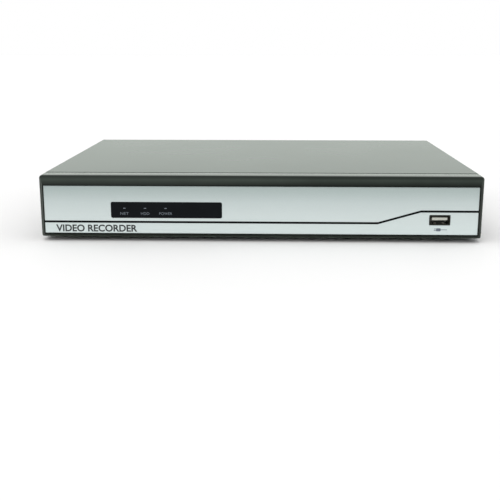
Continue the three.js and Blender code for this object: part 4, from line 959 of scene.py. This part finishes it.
def leaded_chip(bodies, pins, centre, size, height=1.4, pitch=1.27, sides="xy"):
    """A moulded chip on the main board with bent legs along the sides named."""
    x, y = centre
    half = {"x": size[0] / 2, "y": size[1] / 2}
    z = BOARD_TOP
    bodies.block((x - half["x"], x + half["x"]), (y - half["y"], y + half["y"]), (z + 0.12, z + height), 0.14,
                 2)
    for side in sides:
        along = "y" if side == "x" else "x"
        count = int((2 * half[along] - 1) / pitch) + 1
        for i in range(count):
            step = (i - (count - 1) / 2) * pitch
            for way in (-1, 1):
                width = pitch * 0.2
                for (a, b), (low, high) in (((0.0, 0.5), (height / 2 - 0.08, height / 2 + 0.08)),
                                            ((0.42, 0.58), (0.1, height / 2 + 0.08)),
                                            ((0.5, 1.0), (0.02, 0.16))):
                    out = sorted((way * (half[side] + a), way * (half[side] + b)))
                    if side == "x":
                        box = ((x + out[0], x + out[1]), span(y + step, width))
                    else:
                        box = (span(x + step, width), (y + out[0], y + out[1]))
                    pins.block(*box, (z + low, z + high))


def build_chips():
    """Memory, network, video receiver, flash and power chips."""
    bodies, pins = Shape(), Shape()
    z = BOARD_TOP
    for x, y, w, l in ((-91, 29, 9, 12.5), (-91, 46, 9, 12.5), (-67, 68, 12.5, 9), (-49, 68, 12.5, 9)):
        bodies.block(span(x, w / 2), span(y, l / 2), (z + 0.25, z + 1.15), 0.1, 2)
    leaded_chip(bodies, pins, (11, 50), (14, 14), pitch=0.8)
    leaded_chip(bodies, pins, (-97, 80), (9, 9), pitch=0.8)
    leaded_chip(bodies, pins, (-17, 88), (7, 7), pitch=0.8)
    for centre in ((-25, 32), (-25, 46), (-134, 60), (-84, 8)):
        leaded_chip(bodies, pins, centre, (5.2, 5.0), 1.6, sides="x")
    for x in (20.8, 1.6):
        for y in (80, 69):
            leaded_chip(bodies, pins, (x, y), (4.2, 4.2), 0.95, 0.65)
    for x, y in ((-140, 44), (-118, 44), (-108, 20)):
        leaded_chip(bodies, pins, (x, y), (6.4, 6.2), 2.2, 2.2, "y")
    piece("board_chips", bodies, "chip")
    piece("board_chip_legs", pins, "tinned")


CANS = [(-143, 93, 4.0, 10.5), (-133, 93, 4.0, 10.5), (-112, 93, 3.15, 7.7), (-143, 79, 4.0, 10.5),
        (-126, 32, 3.15, 7.7),
        (-104, 36, 3.15, 7.7), (31, 62, 3.15, 7.7), (31, 74, 3.15, 7.7), (33, 22, 4.0, 10.5),
        (12, 20, 3.15, 7.7),
        (-38, 8, 3.15, 7.7), (-71, 92, 2.5, 5.4), (-20, 74, 2.5, 5.4)]
COILS = [(-128, 78, 10), (-112, 76, 7), (-136, 20, 10), (-120, 20, 7), (-4, 30, 7)]


def build_cans():
    """Electrolytic capacitors, each a beaded aluminium can on a black base."""
    cans, bases = Shape(), Shape()
    for x, y, r, tall in CANS:
        z = BOARD_TOP
        bases.prism(rect(x - r - 0.3, x + r + 0.3, y - r - 0.3, y + r + 0.3, 0.9, 3), z, z + 1.3, "z",
                    bevel=0.15)
        neck = r - 0.35
        cans.turned([(0, 1.35), (r - 0.15, 1.35), (r, 1.6), (r, 2.3), (neck, 2.75), (neck, 3.0), (r, 3.45),
                     (r, tall - 0.5),
                     (r - 0.15, tall - 0.12), (r - 0.5, tall), (r - 0.8, tall - 0.15), (0, tall - 0.15)],
                    "z", (x, y, z), 32)
    piece("board_cans", cans, "can")
    piece("board_can_bases", bases, "black_plastic")


def build_coils():
    """Power inductors with chamfered ferrite blocks, the clock's coin cell, its holder, a sounder and a crystal."""
    z = BOARD_TOP
    blocks, wells = Shape(), Shape()
    for x, y, size in COILS:
        half = size / 2
        blocks.prism(rect(*span(x, half), *span(y, half), size * 0.16, 3), z + 0.1, z + 1.2, "z", bevel=0.15)
        blocks.turned([(0, 1.25), (half * 0.72, 1.25), (half * 0.72, 3.0), (half * 0.9, 3.2), (half * 0.9, 3.9),
                       (half * 0.84, 4.1), (0, 4.1)], "z", (x, y, z), 32)
    piece("board_coils", blocks, "ferrite")
    x, y = -112, 56
    wells.turned([(0, 0.05), (11.4, 0.05), (11.4, 2.0), (11.1, 2.3), (10.35, 2.3), (10.35, 0.9), (0, 0.9)], "z",
                 (x, y, z), 64)
    sounder = [(0, 0.1), (6, 0.1), (6, 7.6), (5.6, 8.0), (1.3, 8.0), (1.2, 6.6), (0, 6.6)]
    wells.turned(sounder, "z", (-62, 4, z), 40)
    piece("board_cell_holder", wells, "black_plastic")
    cell = Shape().turned([(0, 1.0), (9.7, 1.0), (10.0, 1.3), (10.0, 3.4), (9.6, 3.8), (9.0, 3.85), (8.8, 3.7),
                           (0, 3.7)],
                          "z", (x, y, z), 64)
    strap = [(x - 11.0, y, z + 2.4), (x - 9.6, y, z + 4.0), (x - 4, y, z + 4.02), (x - 1.5, y, z + 4.02)]
    cell.sweep(strap, [(-2.2, -0.12), (2.2, -0.12), (2.2, 0.12), (-2.2, 0.12)])
    cell.prism(rounded([(-86, 60), (-75, 60), (-75, 64.6), (-86, 64.6)], 2.2, 8), z + 0.3, z + 3.6, "z",
               bevel=0.3)
    piece("board_clock_cell", cell, "zinc")


def build_headers():
    """Shrouds on the boards round the plugs of the inner leads, and a bare pin header."""
    z = BOARD_TOP
    white, black, pins = Shape(), Shape(), Shape()
    for shape, x, w, l, tall in ((black, 24, 14, 5, 3.4), (white, 2, 11, 6, 3.6), (white, -128.5, 7, 5, 3.2),
                                 (black, -20, 15, 5, 3.0)):
        gap, wall = 0.2, 1.1
        outer = rect(x - w / 2 - gap - wall, x + w / 2 + gap + wall, -l / 2 - gap - wall, l / 2 + gap + wall)
        inner = rect(x - w / 2 - gap, x + w / 2 + gap, -l / 2 - gap, l / 2 + gap)
        shape.ring(outer, inner, z + 0.02, z + tall, "z")
    card = CARD_BACK_Y
    black.ring(rect(-29, -11, 16.9, 24.1), rect(-27.8, -12.2, 18.0, 23.0), card + 0.02, card + 2.2)
    row = [(-100 + i * 2.54, -2.2) for i in range(4)] + [(-40 + i * 2.54, 96) for i in range(2)]
    for x, y in row:
        black.block(span(x, 1.2), span(y, 1.2), (z + 0.02, z + 2.5), 0.3, 2)
        pins.block(span(x, 0.32), span(y, 0.32), (z + 2.52, z + 8.5), 0.12, 1)
    piece("header_shrouds_black", black, "black_plastic")
    piece("header_shrouds_white", white, "white_plastic")
    piece("header_pins", pins, "gold")


def build_small_parts():
    """Rows of ceramic capacitors and resistors with tinned ends, kept off everything bigger."""
    draw = random.Random(7)
    taken = [(-79, -37, 17, 59), (-97, -85, 21, 54), (-75, -42, 62, 74), (2, 20, 41, 59), (-104, -90, 73, 87),
             (-22, -12, 83, 93), (-29, -21, 28, 50), (-139, -129, 56, 64), (-89, -79, 4, 12), (17, 25, 65, 84),
             (-2, 5, 65, 84), (-125, -99, 43, 69), (-87, -74, 58, 66), (-102, -90, -5, 1), (-70, -54, -4, 12),
             (-146, -134, 38, 50), (-114, -102, 14, 26), (-42, -34, 93, 99), (13, 35, -5, 5), (-6, 10, -6, 6),
             (-30, -10, -5, 5), (-134, -123, -5, 5), (-150, 45, 97, 113), (-4, 26, 92, 113),
             (-112, -85, 93, 113)]
    taken += [(x - r - 1, x + r + 1, y - r - 1, y + r + 1) for x, y, r, _ in CANS]
    taken += [(x - s / 2 - 1, x + s / 2 + 1, y - s / 2 - 1, y + s / 2 + 1) for x, y, s in COILS]
    taken += [(*span(x, 5), *span(y, 5)) for x, y in BOARD_HOLES]
    tan, dark, ends = Shape(), Shape(), Shape()
    for _ in range(110):
        x0, y0 = draw.uniform(-144, 38), draw.uniform(-3, 94)
        turned, count, body = draw.random() < 0.5, draw.randint(2, 5), draw.choice((tan, tan, dark))
        w, l = (2.0, 1.2) if draw.random() < 0.3 else (1.6, 0.8)
        tall = 0.55 if body is dark else w * 0.45
        for i in range(count):
            x, y = (x0 + i * (l + 0.9), y0) if turned else (x0, y0 + i * (l + 0.9))
            if any(a - w < x < b + w and c - w < y < d + w for a, b, c, d in taken):
                continue
            taken.append((*span(x, w / 2), *span(y, w / 2)) if i == count - 1 else (x, x, y, y))
            for shape, low, high, grow in ((body, -w * 0.27, w * 0.27, 0), (ends, -w / 2, -w * 0.27, 0.03),
                                           (ends, w * 0.27, w / 2, 0.03)):
                across = (-l / 2 - grow, l / 2 + grow)
                first, second = (across, (low, high)) if turned else ((low, high), across)
                shape.block((x + first[0], x + first[1]), (y + second[0], y + second[1]),
                            (BOARD_TOP + 0.03, BOARD_TOP + tall + grow))
    for x in range(-110, -40, 9):  # beside the lamps, on the back of the front board
        for shape, low, high in ((dark, -0.45, 0.45), (ends, -0.8, -0.45), (ends, 0.45, 0.8)):
            shape.block((x + low, x + high), (CARD_BACK_Y + 0.02, CARD_BACK_Y + 0.5), (29.6, 30.4))
    piece("board_ceramics", tan, "ceramic")
    piece("board_resistors", dark, "chip")
    piece("board_part_ends", ends, "tinned")


def build_board_screws():
    """The main board's four screws, each on a tinned ring."""
    rings = Shape()
    for i, (x, y) in enumerate(BOARD_HOLES, 1):
        at = (x, y, BOARD_TOP)
        rings.ring(circle((0, 0), 4.0, 40), circle((0, 0), 1.65, 40), 0.01, 0.06, "z", at)
        head = [(0, -1.4), (1.35, -1.4), (1.35, 0.07), *[(r, h + 0.07) for r, h in pan_head(2.9, 1.9)]]
        piece(f"board_screw_{i}", Shape().turned(head, "z", at, 36), "zinc",
              cut=cross_recess(2.8, 0.9, 3, "z", at))
    piece("board_screw_rings", rings, "tinned")


def build_fan():
    low, high = node_box("fan_frame")
    centre = (low + high) / 2
    half, deep = (high.z - low.z) / 2, (high.x - low.x) / 2
    bore, hub = 19.0, 9.0
    frame_shape = Shape().prism(rect(-half, half, -half, half, 3, 6), -deep, deep, "x", centre, 0.3, 2)
    opening = Shape().turned([(0, -deep - 1), (bore + 0.6, -deep - 1), (bore + 0.6, -deep), (bore, -deep + 1.2),
                              (bore, deep - 1.2), (bore + 0.6, deep), (bore + 0.6, deep + 1), (0, deep + 1)],
                             "x", centre, 96)
    for a in (-16, 16):
        for b in (-16, 16):
            opening.prism(circle((a, b), 1.7, 24), -deep - 1, deep + 1, "x", centre)
    piece("fan_housing", frame_shape, "black_plastic", replaces="fan_frame", cut=opening)
    seat = Shape().turned([(0, deep - 2), (hub + 0.5, deep - 2), (hub + 0.5, deep - 0.4), (hub + 0.1, deep),
                           (0, deep)],
                          "x", centre, 56)
    for quarter in range(4):
        start = math.radians(45 + 90 * quarter)
        path = [(deep - 1, r * math.cos(start + 0.018 * (r - hub)), r * math.sin(start + 0.018 * (r - hub)))
                for r in np.linspace(hub, bore + 0.5, 8)]
        seat.sweep([centre + Vector(p) for p in path], rect(-1.1, 1.1, -0.8, 0.8, 0.4, 3))
    piece("fan_motor_seat", seat, "black_plastic")
    label = Shape().turned([(0, deep + 0.01), (7.6, deep + 0.01), (7.6, deep + 0.07), (0, deep + 0.07)], "x",
                           centre, 56)
    piece("fan_blank_label", label, "sticker")
    back, face = deep - 2.5, -deep + 0.8
    rotor = Shape().turned([(0, back), (hub, back), (hub, face + 1.0), (hub - 0.3, face + 0.3),
                            (hub - 1.0, face),
                            (hub - 2.2, face), (hub - 2.4, face + 0.2), (hub - 2.6, face + 0.2),
                            (hub - 2.8, face),
                            (0, face)], "x", centre, 72)
    for blade in range(7):
        add_fan_blade(rotor, centre, 2 * math.pi * blade / 7, hub - 0.5, bore - 0.8)
    piece("fan_impeller", rotor, "black_plastic", "fan_rotor", "fan_rotor", smooth=50)


def add_fan_blade(shape, centre, turn, root, tip, chord=5.2, slant=0.95):
    """A thin curved blade that leans forward towards its tip; its hollow side faces the way it turns."""
    rows, columns = 9, 9
    faces = {}
    for side in (-1, 1):
        for i in range(rows):
            r = root + (tip - root) * i / (rows - 1)
            lean = 0.30 * ((r - root) / (tip - root)) ** 1.5
            for j in range(columns):
                s = j / (columns - 1) * 2 - 1
                camber = 0.9 * (1 - s * s)
                thick = (0.5 - 0.15 * i / (rows - 1)) * (1 - 0.55 * s * s) * side
                across = s * chord / 2 * slant * 1.5 + camber + thick
                angle = turn + lean + across / r
                point = Vector((-0.85 + s * chord / 2, r * math.cos(angle), r * math.sin(angle)))
                faces[side, i, j] = shape.bm.verts.new(centre + point)
    made = []
    for side in (-1, 1):
        for i in range(rows - 1):
            for j in range(columns - 1):
                made.append(tuple(faces[side, i + a, j + b] for a, b in ((0, 0), (1, 0), (1, 1), (0, 1))))
    for i in range(rows - 1):
        for j in (0, columns - 1):
            made.append((faces[-1, i, j], faces[-1, i + 1, j], faces[1, i + 1, j], faces[1, i, j]))
    for j in range(columns - 1):
        for i in (0, rows - 1):
            made.append((faces[-1, i, j], faces[-1, i, j + 1], faces[1, i, j + 1], faces[1, i, j]))
    bmesh.ops.recalc_face_normals(shape.bm, faces=[shape.bm.faces.new(f) for f in made])


def build_drive():
    """The disk drive's casting, its pressed lid with screws and a blank label, its platters and its head arm."""
    keep_node("drive_base", "casting", 0.4, 2)
    low, high = node_box("drive_lid")
    sheet = low.z + 0.8
    at = (DRIVE_X, DRIVE_Y, 0)
    half_w, half_l = (high.x - low.x) / 2, (high.y - low.y) / 2
    spindle, pivot = (0, 22), (26, -29)
    lid = Shape().prism(rect(-half_w, half_w, -half_l, half_l, 3, 6), low.z, sheet, "z", at, 0.25, 3)
    pressing = arc(spindle, 44, 0, 180, 48) + rounded([(-44, 10), (-44, -34), (-38, -62), (38, -62), (44, -34),
                                                       (44, 10)], 7, 6)
    lid.prism(pressing, sheet - 0.1, high.z, "z", at, 0.55, 4)
    piece("drive_cover_pressing", lid, "lid", replaces="drive_lid")
    label = rect(-33, 33, -54, 4, 2.5, 6)
    piece("drive_blank_label", Shape().prism(label, high.z + 0.01, high.z + 0.1, "z", at), "sticker")
    rim = Shape().ring(rect(-31, 31, -52, 2, 1.5, 6), rect(-30.6, 30.6, -51.6, 1.6, 1.1, 6), high.z + 0.1,
                       high.z + 0.13,
                       "z", at)
    piece("drive_label_line", rim, "ink_pale")
    corners = [(sx * 46.6, y) for sx in (-1, 1) for y in (-68, 2, 68)]
    for i, (x, y) in enumerate([*corners, spindle], 1):
        seat = high.z if (x, y) == spindle else sheet
        screw = Shape().turned([(0, -0.6), (1.2, -0.6), (1.2, 0), (2.3, 0), (2.3, 0.35), (2.0, 0.6), (0, 0.6)],
                               "z",
                               (DRIVE_X + x, DRIVE_Y + y, seat), 32)
        points = [(1.25 if k % 2 else 0.9, math.pi * k / 6) for k in range(12)]
        star = [(r * math.cos(turn), r * math.sin(turn)) for r, turn in points]
        hole = Shape().prism(star, 0.15, 2, "z", (DRIVE_X + x, DRIVE_Y + y, seat))
        piece(f"drive_cover_screw_{i}", screw, "zinc", cut=hole)
    build_platters(spindle)
    build_head_arm(pivot)


def build_platters(spindle):
    low, high = node_box("drive_platters")
    at = ((low.x + high.x) / 2, (low.y + high.y) / 2, DRIVE_Z)
    radius, hub, ease = (high.y - low.y) / 2, 14, 0.12
    decks, thick = (9, 14.5), 1.3
    profile = [(0, 5.6), (hub - 0.4, 5.6), (hub, 6.0)]
    for z in decks:
        profile += [(hub, z), (radius - ease, z), (radius, z + ease), (radius, z + thick - ease),
                    (radius - ease, z + thick),
                    (hub, z + thick)]
    profile += [(hub, 17.6), (hub - 0.8, 18.5), (hub - 5, 18.5), (hub - 5.4, 18.1), (0, 18.1)]
    holes = Shape()
    for k in range(6):
        turn = math.radians(60 * k)
        holes.prism(circle((10.6 * math.cos(turn), 10.6 * math.sin(turn)), 1.1, 20), 17.9, 19.5, "z", at)
    piece("platter_stack", Shape().turned(profile, "z", at, 128), "platter", "platters", "drive_platters",
          holes)


def build_head_arm(pivot):
    """Three arms, the pivot's bearing and the coil at the tail. At rest the heads are just off the platters' rim."""
    rest = Matrix.Translation((DRIVE_X + pivot[0], DRIVE_Y + pivot[1], DRIVE_Z)) @ Matrix.Rotation(
        math.radians(171.5), 4, "Z")
    arm, hub = Shape(), 7
    reach = rounded([(0, -6), (41, -1.8), (49.8, -1.4), (49.8, 1.4), (41, 1.8), (0, 6)],
                    [0.1, 4, 0.6, 0.6, 4, 0.1], 4)
    for z in (7.2, 12.1, 17):
        arm.prism(reach, z, z + 0.9, "z", bevel=0.15)
    holes = Shape()
    for x, r in ((15, 2.6), (22.5, 2.0), (29, 1.5)):
        holes.prism(circle((x, 0), r, 24), 6, 19, "z")
    tail = rounded([(0, -5), (0, 5), (-14, 8), (-17, 6), (-17, -6), (-14, -8)], [0.1, 0.1, 1.5, 1.5, 1.5, 1.5],
                   4)
    arm.prism(tail, 11.4, 13.2, "z", bevel=0.2)
    holes.prism(rounded([(-9, -2.6), (-9, 2.6), (-14, 4.4), (-14, -4.4)], 1.0, 4), 10, 14, "z")
    piece("head_arms", arm.move(rest), "aluminium", "head_arm", "drive_arm", holes.move(rest))
    bearing = Shape().turned([(0, 5.6), (hub, 5.6), (hub, 18.9), (hub - 0.5, 19.4), (4.6, 19.4), (4.4, 19.1),
                              (3.2, 19.1),
                              (3.0, 19.4), (0, 19.4)], "z", (0, 0, 0), 56)
    piece("arm_pivot_bearing", bearing.move(rest), "zinc", "head_arm")


def plug(shape, centre, size, neck=None, bevel=0.35):
    """A moulded plug, with a narrower neck where its lead goes in."""
    (x, y, z), (w, l, h) = centre, size
    shape.block(span(x, w / 2), span(y, l / 2), span(z, h / 2), bevel, 3)
    if neck:
        shape.block(*neck, bevel, 3)
    return shape


DATA_ROUTE = [(69, -52, 9.5), (69, -60, 9.5), (66, -69, 12), (54, -75, 17), (39, -72, 20), (29, -60, 20.5),
              (25, -42, 20), (24, -26, 20), (24, -12, 20), (24, -3, 17.5), (24, 0, 14)]
POWER_ROUTE = [(84, -52, 9.5), (84, -64, 9.5), (80, -78, 13), (66, -88, 19), (42, -92, 22), (20, -86, 22),
               (8, -70, 20), (3, -50, 19), (2, -28, 19), (2, -10, 19.5), (2, -3, 18), (2, 0, 14)]
RIBBON_ROUTE = [(-20, -112, 20.5), (-20, -104, 20.5), (-20, -94, 18), (-20, -80, 10), (-20, -62, 6.5),
                (-20, -40, 6.5), (-20, -22, 11), (-20, -12, 19), (-20, -4, 20), (-20, -0.5, 15)]
FAN_ROUTE = [(-149.5, -33.9, 12), (-146, -31, 11), (-139, -25, 9.5), (-132, -16, 12), (-130, -8, 16),
             (-129, -3, 16), (-128.5, 0, 13)]


def strands(path, radius, count, turn_per_mm):
    """Paths of several wires that twist round a middle path."""
    ways = [(b - a).normalized() for a, b in zip(path, path[1:])]
    ways.append(ways[-1])
    side = ways[0].cross(Vector((0, 0, 1))).normalized()
    out, run = [[] for _ in range(count)], 0.0
    for i, (point, way) in enumerate(zip(path, ways)):
        run += (point - path[i - 1]).length if i else 0.0
        side = (side - way * side.dot(way)).normalized()
        over = side.cross(way)
        for k in range(count):
            angle = 2 * math.pi * (k + 0.5) / count + run * turn_per_mm
            out[k].append(point + side * radius * math.cos(angle) + over * radius * math.sin(angle))
    return out


def build_data_cable():
    """A flat red twin lead between two black plugs."""
    core = [(2.0 + 0.85 * math.cos(math.radians(a)), 0.85 * math.sin(math.radians(a))) for a in range(-135, 136,
                                                                                                      27)]
    section = core + [(-x, -y) for x, y in core]
    lead = Shape().sweep(catmull_rom(DATA_ROUTE, 9), section)
    piece("data_cable_lead", lead, "wire_red", replaces="disk_data_cable")
    plugs = plug(Shape(), (69, -51.8, 9.5), (15, 7, 5), ((64, 74), (-58, -55.4), (7.8, 11.2)))
    plug(plugs, (24, 0, 12.5), (14, 5, 5), ((19.5, 28.5), (-1.9, 1.9), (15.1, 17)))
    piece("data_cable_plugs", plugs, "black_plastic")


def build_power_cable():
    """Four round wires, loosely twisted, from the board to the drive."""
    section = circle((0, 0), 0.82, 14)
    wires = strands(catmull_rom(POWER_ROUTE, 9), 1.2, 4, 0.028)
    for name, numbers, key in (("yellow", (0,), "wire_yellow"), ("black", (1, 3), "wire_black"),
                               ("red", (2,), "wire_red")):
        shape = Shape()
        for number in numbers:
            shape.sweep(wires[number], section)
        piece(f"power_wires_{name}", shape, key, replaces="disk_power_cable" if name == "black" else ())
    drive_plug = plug(Shape(), (86.5, -51.8, 9.5), (18, 7, 5), ((80.5, 90), (-57, -55.4), (7.3, 11.7)))
    piece("power_plug_drive", drive_plug, "black_plastic")
    board_plug = plug(Shape(), (2, 0, 12.5), (11, 6, 5))
    for x in (-1.9, 0.6, 3.1, 5.6):
        board_plug.block(span(x, 0.3), (2.9, 3.3), (11, 14.6), 0.1, 1)
    piece("power_plug_board", board_plug, "white_plastic")


def build_ribbon():
    """A ridged flat lead of ten wires from the front board, under the leads, to the main board."""
    count, half = 10, 6.0
    top = [(-half + 2 * half * i / 60, 0.3 + 0.18 * abs(math.sin(math.pi * count * i / 60))) for i in range(61)]
    section = top + [(x, -y) for x, y in reversed(top)]
    lead = Shape().sweep(catmull_rom(RIBBON_ROUTE, 9), section)
    piece("front_ribbon_lead", lead, "ribbon", replaces="front_ribbon")
    plugs = plug(Shape(), (-20, -111, 20.5), (15, 3, 4.6))
    plug(plugs, (-20, 0, 12.6), (15, 5, 5), ((-27, -13), (-1.8, 1.2), (15.15, 16.6)))
    piece("front_ribbon_plugs", plugs, "black_plastic")


def build_fan_lead():
    wires = strands(catmull_rom(FAN_ROUTE, 10), 0.62, 2, 0.16)
    section = circle((0, 0), 0.58, 12)
    black = Shape().sweep(wires[0], section)
    piece("fan_wire_black", black, "wire_black", replaces="fan_lead")
    piece("fan_wire_red", Shape().sweep(wires[1], section), "wire_red")
    end = plug(Shape(), (-128.5, 0, 12.3), (7, 5, 4.6), bevel=0.3)
    for x in (-2, 2):
        end.block((-128.5 + x - 0.4, -128.5 + x + 0.4), (2.4, 2.8), (10.6, 14), 0.1, 1)
    piece("fan_lead_plug", end, "white_plastic")


# ---------------------------------------------------------------- stage
def build_stage():
    floor = Shape().block((-9000, 9000), (-9000, 9000), (-20, 0)).object("floor")
    floor.data.materials.append(Surface("pale_floor", srgb(240, 240, 240), 0.6).mottle(0.01, 400).material)
    world = bpy.data.worlds.new("studio")
    bpy.context.scene.world = world
    world.use_nodes = True
    background = world.node_tree.nodes["Background"]
    background.inputs["Color"].default_value = (1.0, 1.0, 1.0, 1.0)
    background.inputs["Strength"].default_value = 1.0
    key = bpy.data.lights.new("key", "SUN")
    key.energy, key.angle, key.color = 0.7, math.radians(50), (1.0, 0.99, 0.97)
    lamp = bpy.data.objects.new("key", key)
    bpy.context.scene.collection.objects.link(lamp)
    lamp.location = (-0.5, -0.7, 1.5)
    lamp.rotation_euler = (Vector((0, 0, 0.03)) - lamp.location).to_track_quat("-Z", "Y").to_euler()
    bpy.context.scene.view_settings.view_transform = "Standard"


def build_camera():
    """The viewpoint of the front view: above the cover, a little right of the middle, looking slightly down."""
    camera = bpy.data.cameras.new("camera")
    camera.sensor_width, camera.lens = 36.0, 62.5
    camera.clip_start, camera.clip_end = 0.01, 50
    made = bpy.data.objects.new("camera", camera)
    bpy.context.scene.collection.objects.link(made)
    made.location = Vector((10.4, FRONT_Y - 623, 142.5)) * MM
    pitch, yaw = math.radians(13.4), math.radians(1.63)
    way = Vector((-math.sin(yaw) * math.cos(pitch), math.cos(yaw) * math.cos(pitch), -math.sin(pitch)))
    made.rotation_euler = way.to_track_quat("-Z", "Y").to_euler()
    bpy.context.scene.camera = made


for build in (build_camera, build_stage, build_housing, build_bezel, build_groove, build_front_marks,
              build_lamps,
              build_front_usb, build_screws, build_feet):
    build()
for number in range(1, 5):
    build_coaxial(f"video_{number}", f"video_socket_{number}", f"video_insulator_{number}")
build_coaxial("audio", "audio_socket", "audio_insulator")
for build in (build_vga, build_hdmi, build_stack, build_terminal, build_power, build_rear_print, build_boards,
              build_chips, build_cans, build_coils, build_headers, build_small_parts, build_board_screws,
              build_fan,
              build_drive, build_data_cable, build_power_cable, build_ribbon, build_fan_lead):
    build()
